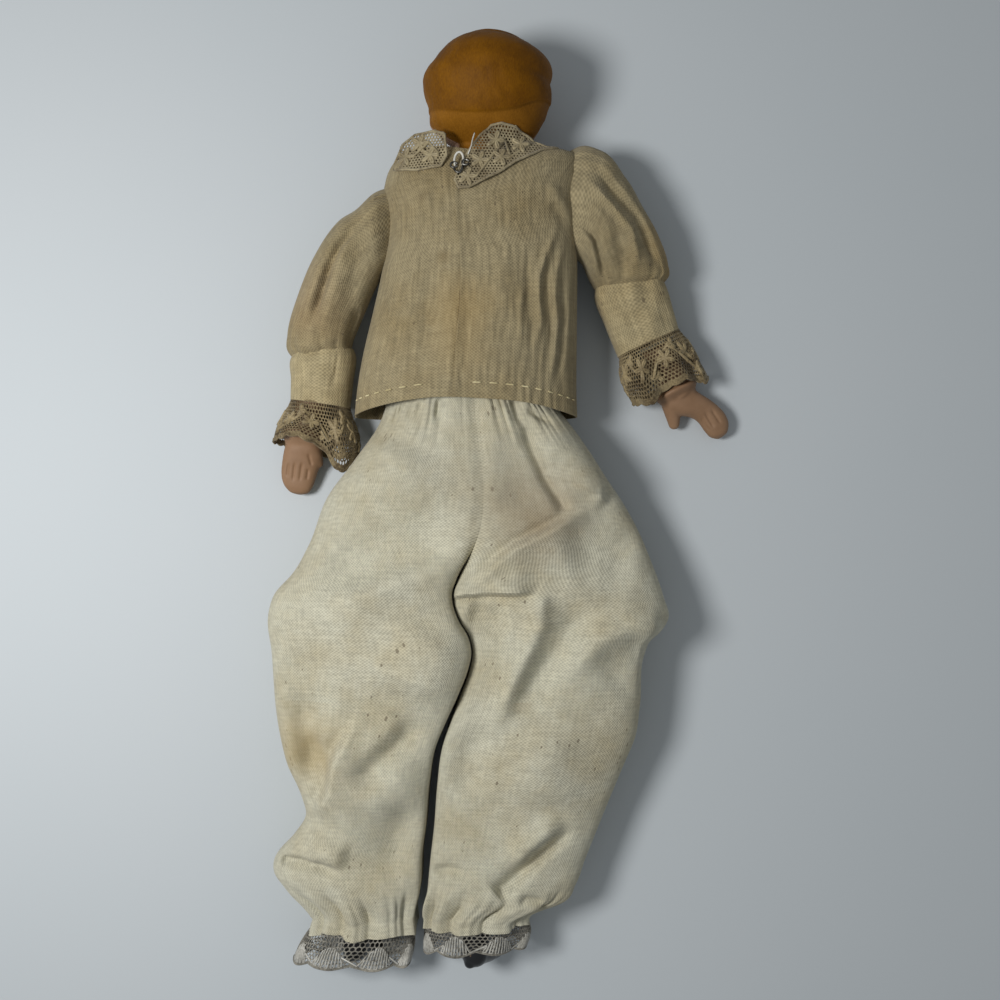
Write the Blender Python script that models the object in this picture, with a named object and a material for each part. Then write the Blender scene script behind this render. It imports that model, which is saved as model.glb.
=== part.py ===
"""Bisque shoulder-head doll with a cloth body, lying on its front in blouse and bloomers.

Metres.  +Y points to the head, +Z up from the table to the doll's back, +X to the viewer's right.
The doll rests on the flattened front of its blouse and bloomers, at z = 0.
"""
import math

import bmesh
import bpy
from mathutils import Matrix, Vector

for old in list(bpy.data.objects):
    bpy.data.objects.remove(old, do_unlink=True)

# Clearances
GAP = 0.0004            # between pieces that touch
PIVOT_GAP = 0.0008      # round a limb end that turns
BEND_GAP = 0.0034       # bare cloth between a stuffing and a bisque limb, where the limb bends

# Wall thicknesses
CLOTH = 0.0006          # garment cloth with its seams
CASING = 0.0006         # muslin of the body bags
LACE = 0.0005
BISQUE_WALL = 0.0016
FLAT_CUT = 0.0005       # how deep the table flattens the cloth that rests on it
THREAD_RADIUS = 0.0003
ELASTIC_RADIUS = 0.0004
WIRE_RADIUS = 0.0003

# The sizes below count up the body from the waist; the origin lies this far up, under the chest
REST_POINT = 0.0240

# Body bag: half widths and half depths
SHOULDER_HEIGHT = 0.0450
TORSO_TOP = SHOULDER_HEIGHT + 0.0050
TORSO_BOTTOM = -0.0180
CHEST_HALF = 0.0160
CHEST_DEPTH = 0.0076
WAIST_HALF = 0.0140
WAIST_DEPTH = 0.0068
HIP_HALF = 0.0160
HIP_DEPTH = 0.0076

# Shoulder plate, neck and head
PLATE_EDGE = SHOULDER_HEIGHT - 0.0080   # lower edge of the plate
NECK_TOP = TORSO_TOP + 0.0080
NECK_HALF = 0.0056
HEAD_HEIGHT = 0.0262
HEAD_HALF = 0.0135
HEAD_FRONT = 0.0118
HEAD_BACK = 0.0132
NOSE = 0.0014
HEAD_TILT = math.radians(-6.0)

# How the body lies: the upper body leans and its shoulder line tilts
SIDE_LEAN = 0.0034
SHOULDER_TILT = 0.15

# Blouse
BLOUSE_SIDE_EASE = 0.0058
BLOUSE_HEM_EASE = 0.0098
BLOUSE_HEM = 0.0008
BLOUSE_NECK = TORSO_TOP + 0.0056
HEM_RISE = 0.0034
TUCK_DEPTH = 0.0005
TUCK_PITCH = 0.0022
CLOSURE_SHIFT = -0.0012
ARMHOLE_HALF = 0.0072
COLLAR_DEPTH = 0.0105
COLLAR_OPENING = 0.0026  # from the closure to the edge of each half
HOOK = 0.0019
THREAD_LOOP = 0.0013

# Arms
ARM_HALF = 0.0038
UPPER_ARM = 0.0282
ARM_SPREAD = math.radians(22.0)
FOREARM_SPREAD_LEFT = math.radians(15.0)
FOREARM_SPREAD_RIGHT = math.radians(29.0)
HAND_TURN_LEFT = math.radians(2.0)
HAND_TURN_RIGHT = math.radians(13.0)
FOREARM = 0.0315
FOREARM_HALF = 0.0036
HAND_HALF = 0.0040
HAND_DEPTH = 0.0021
HAND_LENGTH = 0.0128
ELBOW_HEIGHT = 0.0078
SLEEVE_HALF = 0.0080
SLEEVE_DEPTH = 0.0064
SLEEVE_BULGE = 0.0020
CUFF_HALF = 0.0064
CUFF_DEPTH = 0.0052
CUFF_LENGTH = 0.0092
CUFF_LACE_LENGTH = 0.0110
LACE_FLARE = 0.0022
LACE_WAVE = 0.0010

# Legs
LEG_HALF = 0.0060
HIP_SHIFT = 0.0012
UPPER_LEG = 0.0430
LOWER_LEG = 0.0508      # knee to sole
LEG_SWING_LEFT = math.radians(10.4)
LEG_SWING_RIGHT = math.radians(4.8)
CALF_HALF = 0.0046
ANKLE_HALF = 0.0031
BOOT_HALF = 0.0030
BOOT_LENGTH = 0.0112
BOOT_HEIGHT = 0.0100
KNEE_RIM = 0.0036
ELBOW_RIM = 0.0030
RIM_BEAD = 0.0004
RIM_WIDTH = 0.0010
GROOVE = 0.0007         # depth of the groove for the tie
GROOVE_AT = 0.0023      # middle of the groove, from the end of the bisque
GROOVE_WIDTH = 0.0014
ANKLE_HEIGHT = 0.0090   # of the leg's axis over the table

# Bloomers
BLOOMERS_WAIST = 0.0040
BOOT_SHOWING = 0.0096   # of the leg's length, below the ankle channel
BLOOMERS_HEIGHT = 0.0218
BLOOMERS_REACH = 0.0362  # widest, out from the leg's axis
CROTCH_DROP = 0.0420
FOLD_HEIGHT = 0.0018
FOLD_HALF = 0.0030       # half width of a fold
ANKLE_EASE = 0.0007
ANKLE_PLEAT = 0.0011
INSEAM_SPREAD = 0.0026   # between the ankles' edges and the middle line
ANKLE_LACE_LENGTH = 0.0085

# Heights that the layers over each other decide
PLATE_DEPTH = CHEST_DEPTH + GAP + BISQUE_WALL
PLATE_HALF = CHEST_HALF + GAP + BISQUE_WALL
BLOUSE_DEPTH = PLATE_DEPTH + GAP + CLOTH + TUCK_DEPTH + FLAT_CUT
AXIS = BLOUSE_DEPTH - FLAT_CUT
HEAD_AXIS = HEAD_FRONT + NOSE + GAP
SHOULDER_OUT = PLATE_HALF + PIVOT_GAP + CLOTH + 2 * GAP + ARM_HALF
HIP_OUT = LEG_HALF * 1.06 + CLOTH + 2 * GAP + PIVOT_GAP
HIP_LINE = TORSO_BOTTOM - PIVOT_GAP - LEG_HALF
WAIST_LAYERS = GAP + 2 * ELASTIC_RADIUS + GAP + CLOTH
WAIST_TOP = AXIS + WAIST_DEPTH + WAIST_LAYERS
ANKLE_TOP = ANKLE_HEIGHT + ANKLE_HALF * 1.08 + WAIST_LAYERS + ANKLE_EASE
BLOOMERS_LENGTH = BLOOMERS_WAIST - HIP_LINE + UPPER_LEG + LOWER_LEG - BOOT_SHOWING

SIDES = {"left": -1.0, "right": 1.0}


def smooth(low, high, value):
    t = min(max((value - low) / (high - low), 0.0), 1.0)
    return t * t * (3.0 - 2.0 * t)


def along(stations, t):
    """Values of the stations at t, on a smooth curve through them."""
    last = len(stations) - 2
    k = 0
    while k < last and t > stations[k + 1][0]:
        k += 1
    a, b = stations[k], stations[k + 1]
    before = stations[max(k - 1, 0)]
    after = stations[min(k + 2, len(stations) - 1)]
    span = b[0] - a[0]
    u = min(max((t - a[0]) / span, 0.0), 1.0)
    values = []
    for j in range(1, len(a)):
        rise_a = (b[j] - before[j]) / (b[0] - before[0]) * span
        rise_b = (after[j] - a[j]) / (after[0] - a[0]) * span
        values.append(
            (2 * u**3 - 3 * u**2 + 1) * a[j] + (u**3 - 2 * u**2 + u) * rise_a
            + (3 * u**2 - 2 * u**3) * b[j] + (u**3 - u**2) * rise_b
        )
    return values


def posture(point):
    """Place of a point of the straight upper body once it leans and tilts."""
    x, y, z = point
    rise = smooth(0.0, SHOULDER_HEIGHT, y)
    fade = 1.0 - smooth(TORSO_TOP + 0.002, NECK_TOP + 0.001, y)
    return Vector((x + SIDE_LEAN * rise, y + SHOULDER_TILT * x * rise * fade, z))


def oval(centre, side, up, half, depth, count, power=2.0):
    ring = []
    for k in range(count):
        turn = 2.0 * math.pi * k / count
        c, s = math.cos(turn), math.sin(turn)
        across = math.copysign(abs(c) ** (2.0 / power), c) * half
        raised = math.copysign(abs(s) ** (2.0 / power), s) * depth
        ring.append(centre + side * across + up * raised)
    return ring


def material(name, colour, roughness, metallic=0.0):
    found = bpy.data.materials.new(name)
    found.use_nodes = True
    shader = found.node_tree.nodes["Principled BSDF"]
    shader.inputs["Base Color"].default_value = (*colour, 1.0)
    shader.inputs["Roughness"].default_value = roughness
    shader.inputs["Metallic"].default_value = metallic
    found.diffuse_color = (*colour, 1.0)
    return found


LOOKS = {
    "bisque": ((0.62, 0.44, 0.33), 0.45, 0.0),
    "muslin": ((0.60, 0.54, 0.42), 0.9, 0.0),
    "cotton": ((0.72, 0.69, 0.60), 0.95, 0.0),
    "gauze": ((0.38, 0.28, 0.15), 0.9, 0.0),
    "ivory": ((0.62, 0.55, 0.40), 0.9, 0.0),
    "net": ((0.34, 0.26, 0.17), 0.9, 0.0),
    "silver net": ((0.55, 0.54, 0.50), 0.85, 0.0),
    "thread": ((0.75, 0.73, 0.68), 0.9, 0.0),
    "elastic": ((0.70, 0.68, 0.62), 0.9, 0.0),
    "steel": ((0.45, 0.44, 0.42), 0.35, 1.0),
}


def finish(name, bm, look):
    bmesh.ops.translate(bm, verts=bm.verts, vec=(0.0, -REST_POINT, 0.0))
    mesh = bpy.data.meshes.new(name)
    bm.to_mesh(mesh)
    bm.free()
    piece = bpy.data.objects.new(name, mesh)
    bpy.context.scene.collection.objects.link(piece)
    piece.data.materials.append(material(name, *LOOKS[look]))
    return piece


def loft(name, rings, look, closed=False):
    """Closed body through rings of equal count; closed joins the last ring to the first."""
    bm = bmesh.new()
    grid = [[bm.verts.new(point) for point in ring] for ring in rings]
    count = len(rings[0])
    pairs = list(zip(grid, grid[1:]))
    if closed:
        pairs.append((grid[-1], grid[0]))
    else:
        bm.faces.new(grid[0])
        bm.faces.new(grid[-1])
    for low, high in pairs:
        for k in range(count):
            n = (k + 1) % count
            bm.faces.new((low[k], low[n], high[n], high[k]))
    bmesh.ops.recalc_face_normals(bm, faces=bm.faces)
    return finish(name, bm, look)


def cloth(name, rows, cores, look, thickness, wrap):
    """Sheet through rows of points, thickened towards the core point of each row."""
    bm = bmesh.new()
    grid = [[bm.verts.new(point) for point in row] for row in rows]
    count = len(rows[0])
    facing = 0.0
    for r in range(len(rows) - 1):
        for k in range(count if wrap else count - 1):
            n = (k + 1) % count
            face = bm.faces.new((grid[r][k], grid[r][n], grid[r + 1][n], grid[r + 1][k]))
            face.normal_update()
            facing += face.normal.dot(face.calc_center_median() - (cores[r] + cores[r + 1]) / 2)
    if facing < 0.0:
        bmesh.ops.reverse_faces(bm, faces=bm.faces)
    piece = finish(name, bm, look)
    thicken = piece.modifiers.new("thickness", "SOLIDIFY")
    thicken.thickness = thickness
    thicken.offset = -1.0
    thicken.use_even_offset = False
    return piece


def wire(name, path, radius, look, sides=6, closed=False):
    """Round wire along a path."""
    rings = []
    count = len(path)
    side = None
    for k, point in enumerate(path):
        if closed:
            ahead = path[(k + 1) % count] - path[k - 1]
        else:
            ahead = path[min(k + 1, count - 1)] - path[max(k - 1, 0)]
        ahead.normalize()
        if side is None:
            side = ahead.orthogonal()
        side = (side - ahead * side.dot(ahead)).normalized()
        rings.append(oval(point, side, ahead.cross(side), radius, radius, sides))
    return loft(name, rings, look, closed)


def cut(piece, tool, operation):
    tool.hide_render = True
    tool.display_type = "WIRE"
    change = piece.modifiers.new(operation.lower(), "BOOLEAN")
    change.operation = operation
    change.solver = "EXACT"
    change.object = tool


X, Y, Z = Vector((1, 0, 0)), Vector((0, 1, 0)), Vector((0, 0, 1))

# Body bag, open at the neck, with its stuffing
TORSO = [
    (TORSO_BOTTOM, HIP_HALF * 0.55, HIP_DEPTH * 0.45),
    (TORSO_BOTTOM + 0.0012, HIP_HALF * 0.86, HIP_DEPTH * 0.80),
    (TORSO_BOTTOM + 0.0060, HIP_HALF, HIP_DEPTH),
    (BLOOMERS_WAIST, WAIST_HALF, WAIST_DEPTH),
    (0.0260, CHEST_HALF * 0.97, CHEST_DEPTH),
    (PLATE_EDGE, CHEST_HALF, CHEST_DEPTH),
    (SHOULDER_HEIGHT, CHEST_HALF * 0.95, CHEST_DEPTH * 0.88),
    (TORSO_TOP, CHEST_HALF * 0.72, CHEST_DEPTH * 0.62),
]


def torso_rings(shrink, low, high, steps, count):
    rings = []
    for k in range(steps + 1):
        y = low + (high - low) * k / steps
        half, depth = along(TORSO, y)
        ring = oval(Vector((0, y, AXIS)), X, Z, half - shrink, depth - shrink, count, 2.3)
        rings.append([posture(point) for point in ring])
    return rings


bag_outside = torso_rings(0.0, TORSO_BOTTOM, TORSO_TOP, 11, 16)
bag_inside = torso_rings(CASING, TORSO_BOTTOM + CASING, TORSO_TOP, 11, 16)
loft("torso_casing", bag_outside + bag_inside[::-1], "muslin")
filling = torso_rings(
    CASING + GAP, TORSO_BOTTOM + CASING + GAP, TORSO_TOP - GAP, 9, 14)
loft("torso_stuffing", filling, "cotton")

# Bisque head in one with its shoulder plate, hollow and open below
HEAD = [
    (0.00, 0.42, 0.47, 0.42),
    (0.09, 0.68, 0.86, 0.62),
    (0.18, 0.82, 0.96, 0.78),
    (0.34, 0.91, 0.97, 0.90),
    (0.53, 1.00, 1.00, 1.00),
    (0.68, 0.97, 0.99, 0.98),
    (0.82, 0.80, 0.84, 0.82),
    (0.92, 0.55, 0.58, 0.57),
    (0.98, 0.28, 0.30, 0.29),
    (1.00, 0.08, 0.08, 0.08),
]
PLATE = [
    (PLATE_EDGE, PLATE_HALF, PLATE_DEPTH),
    (SHOULDER_HEIGHT, PLATE_HALF * 0.97, PLATE_DEPTH * 0.92),
    (TORSO_TOP, PLATE_HALF * 0.84, PLATE_DEPTH * 0.78),
    (TORSO_TOP + 0.0036, NECK_HALF * 1.30, NECK_HALF * 1.12),
    (NECK_TOP - 0.0014, NECK_HALF, NECK_HALF),
    (NECK_TOP, NECK_HALF, NECK_HALF),
]
NECK_PIVOT = posture((0.0, NECK_TOP, AXIS))
HEAD_TURN = Matrix.Rotation(HEAD_TILT, 3, "Z")


def head_ring(t, shrink, count):
    half, front, back = along(HEAD, t)
    y = NECK_TOP + HEAD_HEIGHT * t
    height = AXIS + (HEAD_AXIS - AXIS) * smooth(-0.15, 0.45, t)
    nose = NOSE * math.exp(-(((t - 0.36) / 0.07) ** 2)) if shrink == 0.0 else 0.0
    ring = []
    for k in range(count):
        turn = 2.0 * math.pi * k / count
        c, s = math.cos(turn), math.sin(turn)
        reach = HEAD_BACK * back if s > 0 else HEAD_FRONT * front
        tip = nose * max(-s, 0.0) ** 40
        local = Vector((
            c * max(HEAD_HALF * half - shrink, 0.0006), y - NECK_TOP,
            height - AXIS + s * max(reach - shrink, 0.0006) - tip))
        ring.append(NECK_PIVOT + HEAD_TURN @ local)
    return ring


def plate_ring(y, shrink, count):
    half, depth = along(PLATE, y)
    ring = oval(Vector((0, y, AXIS)), X, Z, half - shrink, depth - shrink, count, 2.2)
    return [posture(point) for point in ring]


head_count = 24
plate_steps = [PLATE_EDGE + (NECK_TOP - PLATE_EDGE) * k / 6 for k in range(7)]
head_steps = [0.06, 0.13, 0.20, 0.28, 0.36, 0.44, 0.55, 0.66, 0.76, 0.85, 0.92, 0.97, 1.0]
outside = [plate_ring(y, 0.0, head_count) for y in plate_steps]
outside += [head_ring(t, 0.0, head_count) for t in head_steps]
inside = [plate_ring(y, BISQUE_WALL, head_count) for y in plate_steps[:-1]]
inside += [head_ring(t, 2 * BISQUE_WALL, head_count) for t in (0.15, 0.34, 0.55, 0.72, 0.82)]
loft("shoulder_head", outside + inside[::-1], "bisque")

# Blouse: three panels with armholes, open down the back
BLOUSE = [
    (BLOUSE_HEM - 0.004, WAIST_HALF + BLOUSE_HEM_EASE + 0.0004, BLOUSE_DEPTH),
    (BLOUSE_HEM, WAIST_HALF + BLOUSE_HEM_EASE, BLOUSE_DEPTH),
    (0.0250, CHEST_HALF + BLOUSE_SIDE_EASE, BLOUSE_DEPTH),
    (PLATE_EDGE, PLATE_HALF + GAP + CLOTH + 0.0014, BLOUSE_DEPTH),
    (SHOULDER_HEIGHT, PLATE_HALF + GAP + CLOTH + 0.0002, BLOUSE_DEPTH * 0.97),
    (TORSO_TOP, PLATE_HALF * 0.90 + GAP + CLOTH + 0.0008, BLOUSE_DEPTH * 0.88),
    (BLOUSE_NECK, NECK_HALF + GAP + CLOTH + 0.0016, NECK_HALF + GAP + CLOTH + 0.0012),
]
BLOUSE_POWER = 2.4


def blouse_point(y, turn, grow=0.0, tuck=0.0):
    """Point of the blouse's outside, turned from the right side (0) over the back (90 degrees)."""
    half, depth = along(BLOUSE, y)
    c, s = math.cos(turn), math.sin(turn)
    across = math.copysign(abs(c) ** (2.0 / BLOUSE_POWER), c) * (half + grow)
    raised = math.copysign(abs(s) ** (2.0 / BLOUSE_POWER), s) * (depth + grow)
    lower = 1.0 - smooth(SHOULDER_HEIGHT - 0.012, SHOULDER_HEIGHT, y)
    if s > 0.0 and tuck:
        ripple = math.sin(across / TUCK_PITCH) * smooth(-0.2, 0.8, across / half)
        raised -= tuck * lower * (0.5 - 0.5 * ripple) * s
    rise = HEM_RISE * max(s, 0.0) * (1.0 - smooth(BLOUSE_HEM, PLATE_EDGE, y))
    place = posture((across, y + rise, AXIS + raised))
    place.z = max(place.z, -grow)
    return place


def side_turn(y):
    """Angle at which a panel ends at the side, further in round the armhole."""
    depth = along(BLOUSE, y)[1]
    off = (y - SHOULDER_HEIGHT) / (ARMHOLE_HALF + GAP)
    opening = (SLEEVE_DEPTH + GAP) * math.sqrt(max(1.0 - off * off, 0.0))
    return math.asin(min(max(opening, GAP / 2) / depth, 0.92) ** (BLOUSE_POWER / 2))


def closure_turn(y, shift):
    half = along(BLOUSE, y)[0]
    x = CLOSURE_SHIFT - 0.8 * SIDE_LEAN * smooth(0.0, SHOULDER_HEIGHT, y) + shift
    return math.acos(math.copysign((abs(x) / half) ** (BLOUSE_POWER / 2), x))


blouse_rows = [BLOUSE_HEM + (BLOUSE_NECK - BLOUSE_HEM) * k / 10 for k in range(11)]
blouse_cores = [posture((0.0, y, AXIS)) for y in blouse_rows]


def panel(name, start, end, steps):
    rows = []
    for y in blouse_rows:
        low, high = start(y), end(y)
        rows.append([
            blouse_point(y, low + (high - low) * k / steps, 0.0, TUCK_DEPTH)
            for k in range(steps + 1)])
    return cloth(name, rows, blouse_cores, "gauze", CLOTH, False)


panel("bodice_front", lambda y: math.pi + side_turn(y), lambda y: 2 * math.pi - side_turn(y), 14)
panel("bodice_back_left", lambda y: closure_turn(y, -GAP / 2), lambda y: math.pi - side_turn(y), 9)
panel("bodice_back_right", lambda y: side_turn(y), lambda y: closure_turn(y, GAP / 2), 10)

# Lace collar in two halves, lying on the back of the blouse and over the shoulders
for name, sign in SIDES.items():
    rows = []
    cores = []
    for r in range(5):
        row = []
        for k in range(9):
            u = k / 8
            fall = COLLAR_DEPTH * (1.0 - 0.80 * smooth(0.15, 0.9, u))
            y = BLOUSE_NECK - 0.0004 - fall * (1.0 - r / 4)
            inner_edge = closure_turn(y, sign * COLLAR_OPENING)
            side_edge = math.radians(190.0 if sign < 0 else -10.0)
            turn = inner_edge + (side_edge - inner_edge) * u
            row.append(blouse_point(y, turn, 2 * GAP + LACE))
        rows.append(row)
        cores.append(posture((0.0, BLOUSE_NECK - COLLAR_DEPTH, AXIS)))
    cloth("collar_lace_" + name, rows, cores, "net", LACE, False)

# Hook and thread loop at the top of the back opening
hook_y = BLOUSE_NECK - 0.0056
hook_spot = blouse_point(hook_y, closure_turn(hook_y, -0.0002), GAP + WIRE_RADIUS + 0.0005)
hook = []
for k in range(7):
    turn = math.radians(200 - 50 * k)
    ring = Vector((math.cos(turn), math.sin(turn), 0.0)) * 0.32
    hook.append(hook_spot + (Vector((-0.53, 0.42, 0.0)) + ring) * HOOK)
hook += [hook_spot + Vector(step) * HOOK for step in (
    (0.11, 0.26, 0.05), (0.68, 0.21, 0.11), (1.00, 0.00, 0.37), (0.68, -0.11, 0.63),
    (0.16, -0.11, 0.63))]
wire("closure_hook", hook, WIRE_RADIUS, "steel", 6)
loop_y = BLOUSE_NECK - 0.0022
loop_spot = blouse_point(loop_y, closure_turn(loop_y, -0.0008), GAP + THREAD_RADIUS + 0.0004)
loop = []
for k in range(9):
    turn = math.radians(-100 + 200 * k / 8)
    loop.append(loop_spot + Vector((0.92 * math.cos(turn), math.sin(turn), 0.08)) * THREAD_LOOP)
wire("closure_loop", loop, THREAD_RADIUS, "thread", 6)


def beside_blouse(point):
    """The point, pushed out of the space that the blouse fills."""
    rise = smooth(0.0, SHOULDER_HEIGHT, point.y)
    x = point.x - SIDE_LEAN * rise
    y = point.y - SHOULDER_TILT * x * rise
    if y > BLOUSE_NECK:
        return point
    half, depth = along(BLOUSE, y)
    off = point.z - AXIS
    inside = (abs(x) / (half + GAP)) ** BLOUSE_POWER + (abs(off) / (depth + GAP)) ** BLOUSE_POWER
    push = max(inside ** (-1.0 / BLOUSE_POWER), 1.0)
    return Vector((x * push + SIDE_LEAN * rise, point.y, AXIS + off * push))


# Arms


def heading(spread, sign, slope):
    flat = Vector((sign * math.sin(spread), -math.cos(spread), 0.0))
    return (flat * math.cos(slope) - Z * math.sin(slope)).normalized()


def limb_frame(ahead):
    side = ahead.cross(Z).normalized()
    return side, side.cross(ahead).normalized()


def limb_casing(name, start, bend, ahead, beyond, half, rim, look="muslin"):
    """Muslin bag round a limb's stuffing, closed at its upper end and tied over the bisque rim."""
    side, up = limb_frame(ahead)
    side2, up2 = limb_frame(beyond)
    length = (bend - start).length
    tied = rim - GROOVE + GAP
    outside, inside = [], []
    for t, share in ((-1.0, 0.16), (-0.92, 0.40), (-0.7, 0.72), (-0.38, 0.93), (0.0, 1.0)):
        outside.append(oval(start + ahead * half * t, side, up, half * share, half * share, 12))
        inner = half - CASING
        inside.append(oval(start + ahead * inner * t, side, up, inner * share, inner * share, 12))
    for t, share in ((0.25, 1.04), (0.55, 1.06), (0.8, 1.02)):
        place = start + ahead * length * t
        outside.append(oval(place, side, up, half * share, half * share, 12))
        inside.append(oval(place, side, up, half * share - CASING, half * share - CASING, 12))
    wide = rim + GAP
    groove = BEND_GAP + GROOVE_AT
    for step, inner in ((-half * 0.25, (wide + half) / 2), (BEND_GAP, wide),
                        (BEND_GAP + RIM_WIDTH, wide), (groove - GROOVE_WIDTH * 0.36, tied),
                        (groove + GROOVE_WIDTH * 0.36, tied), (groove + GROOVE_WIDTH * 0.93, wide)):
        place = bend + beyond * step
        outside.append(oval(place, side2, up2, inner + CASING, inner + CASING, 12))
        inside.append(oval(place, side2, up2, inner, inner, 12))
    return loft(name, outside + inside[::-1], look)


def limb_stuffing(name, start, bend, ahead, half):
    side, up = limb_frame(ahead)
    inner = half - CASING - GAP
    length = (bend - start).length
    rings = []
    for t, share in ((-1.0, 0.16), (-0.9, 0.42), (-0.6, 0.78), (0.0, 1.0)):
        rings.append(oval(start + ahead * inner * t, side, up, inner * share, inner * share, 10))
    for t, share in ((0.25, 1.04), (0.55, 1.05)):
        rings.append(oval(start + ahead * length * t, side, up, inner * share, inner * share, 10))
    for t, share in ((1.0, 0.92), (0.6, 0.74), (0.28, 0.50), (0.06, 0.14)):
        place = bend - ahead * (inner * t + GAP)
        rings.append(oval(place, side, up, inner * share * 0.9, inner * share * 0.9, 10))
    return loft(name, rings, "cotton")


def limb_tie(name, bend, beyond, rim):
    side, up = limb_frame(beyond)
    radius = rim - GROOVE + GAP + CASING + GAP + THREAD_RADIUS
    return wire(name, oval(bend + beyond * (BEND_GAP + GROOVE_AT), side, up, radius, radius, 14),
                THREAD_RADIUS, "thread", 5, True)


def frill(name, start, ahead, half, depth, length, flare, waves, floor):
    """Gathered lace: a short tube that widens and waves towards its edge."""
    side, up = limb_frame(ahead)
    count = waves * 4
    rows, cores = [], []
    for r in range(4):
        t = r / 3
        centre = start + ahead * length * t
        row = []
        for k in range(count):
            turn = 2.0 * math.pi * k / count
            wave = LACE_WAVE * t * (0.5 + 0.5 * math.cos(waves * turn))
            spread = flare * t + wave
            point = (centre + side * math.cos(turn) * (half + spread)
                     + up * math.sin(turn) * (depth + spread * 0.55))
            point.z = max(point.z, floor)
            row.append(point)
        rows.append(row)
        cores.append(centre)
    return cloth(name, rows, cores, "net" if name.startswith("cuff") else "silver net", LACE, True)


for name, sign in SIDES.items():
    left = name == "left"
    shoulder = posture((sign * SHOULDER_OUT, SHOULDER_HEIGHT, AXIS))
    slope = math.asin((AXIS - ELBOW_HEIGHT) / UPPER_ARM)
    ahead = heading(ARM_SPREAD, sign, slope)
    elbow = shoulder + ahead * UPPER_ARM
    spread = FOREARM_SPREAD_LEFT if left else FOREARM_SPREAD_RIGHT
    beyond = heading(spread, sign, math.asin((ELBOW_HEIGHT - HAND_DEPTH - 2 * GAP) / FOREARM))
    hand_spread = spread + (HAND_TURN_LEFT if left else HAND_TURN_RIGHT)
    limb_casing("upper_arm_casing_" + name, shoulder, elbow, ahead, beyond, ARM_HALF, ELBOW_RIM)
    limb_stuffing("upper_arm_stuffing_" + name, shoulder, elbow, ahead, ARM_HALF)
    limb_tie("arm_tie_" + name, elbow, beyond, ELBOW_RIM)

    # Bisque forearm: rim, groove for the tie, arm, wrist and mitten hand with its thumb
    side, up = limb_frame(beyond)
    rings = []
    wrist_at = FOREARM - HAND_LENGTH
    groove = BEND_GAP + GROOVE_AT
    neck = groove + GROOVE_WIDTH * 1.36
    for step, half in ((BEND_GAP, ELBOW_RIM - RIM_BEAD), (BEND_GAP + RIM_BEAD, ELBOW_RIM),
                       (BEND_GAP + RIM_WIDTH, ELBOW_RIM),
                       (groove - GROOVE_WIDTH / 2, ELBOW_RIM - GROOVE),
                       (groove + GROOVE_WIDTH / 2, ELBOW_RIM - GROOVE), (neck, FOREARM_HALF),
                       ((neck + wrist_at) / 2, FOREARM_HALF * 0.98), (wrist_at, FOREARM_HALF * 0.74)):
        rings.append(oval(elbow + beyond * step, side, up, half, half, 14))
    wrist = elbow + beyond * wrist_at
    fingers = heading(hand_spread, sign, math.asin((ELBOW_HEIGHT - HAND_DEPTH - 2 * GAP) / FOREARM))
    side2, up2 = limb_frame(fingers)
    for t, half, depth in ((0.14, 0.74, 1.05), (0.34, 0.98, 1.0), (0.55, 1.0, 0.95), (0.75, 0.92, 0.85),
                           (0.90, 0.72, 0.68), (0.97, 0.45, 0.46), (1.0, 0.16, 0.2)):
        rings.append(oval(wrist + fingers * HAND_LENGTH * t, side2, up2,
                          HAND_HALF * half, HAND_DEPTH * depth, 14))
    forearm = loft("forearm_" + name, rings, "bisque")
    toward = 1.0 if left else -1.0
    turned = heading(hand_spread - math.radians(42.0), sign, 0.05)
    side3, up3 = limb_frame(turned)
    root = wrist + fingers * HAND_LENGTH * 0.22 + X * toward * HAND_HALF * 0.30
    rings = []
    for t, half in ((0.0, 0.60), (0.4, 0.62), (0.75, 0.56), (0.92, 0.40), (1.0, 0.16)):
        rings.append(oval(root + turned * HAND_LENGTH * 0.46 * t, side3, up3,
                          HAND_DEPTH * half * 1.1, HAND_DEPTH * half, 10))
    cut(forearm, loft("thumb_" + name, rings, "bisque"), "UNION")

    # Full sleeve, from the armhole to the cuff
    across = Vector((sign, 0.0, 0.0))
    join = (ahead + beyond).normalized()
    outward = (across - ahead * across.dot(ahead)).normalized()
    into_armhole = SHOULDER_OUT - PLATE_HALF
    sleeve = [
        (0.00, 0.86, 1.00),
        (0.12, 0.94, 1.04),
        (0.35, 0.97, 1.08),
        (0.65, 1.06, 1.06),
        (0.88, 1.02, 0.96),
        (1.00, CUFF_HALF / SLEEVE_HALF, CUFF_DEPTH / SLEEVE_DEPTH),
    ]
    rows, cores = [], []
    for r in range(10):
        t = r / 9
        half, depth = along(sleeve, t)
        turned = across.lerp(ahead, smooth(0.0, 0.45, t)).lerp(join, smooth(0.7, 1.0, t))
        side4, up4 = limb_frame(turned.normalized())
        centre = shoulder + ahead * (UPPER_ARM - GAP / 2) * t - across * into_armhole * (1.0 - t) ** 5
        centre += outward * SLEEVE_BULGE * math.sin(math.pi * t ** 0.6)
        row = []
        for k in range(24):
            turn = 2.0 * math.pi * k / 24
            pleat = 1.0 + 0.055 * math.sin(math.pi * t) * math.cos(6.0 * turn + 2.0 * t)
            row.append(beside_blouse(
                centre + side4 * math.cos(turn) * SLEEVE_HALF * half * pleat
                + up4 * math.sin(turn) * SLEEVE_DEPTH * depth * pleat))
        rows.append(row)
        cores.append(centre)
    cloth("sleeve_" + name, rows, cores, "gauze", CLOTH, True)

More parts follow.
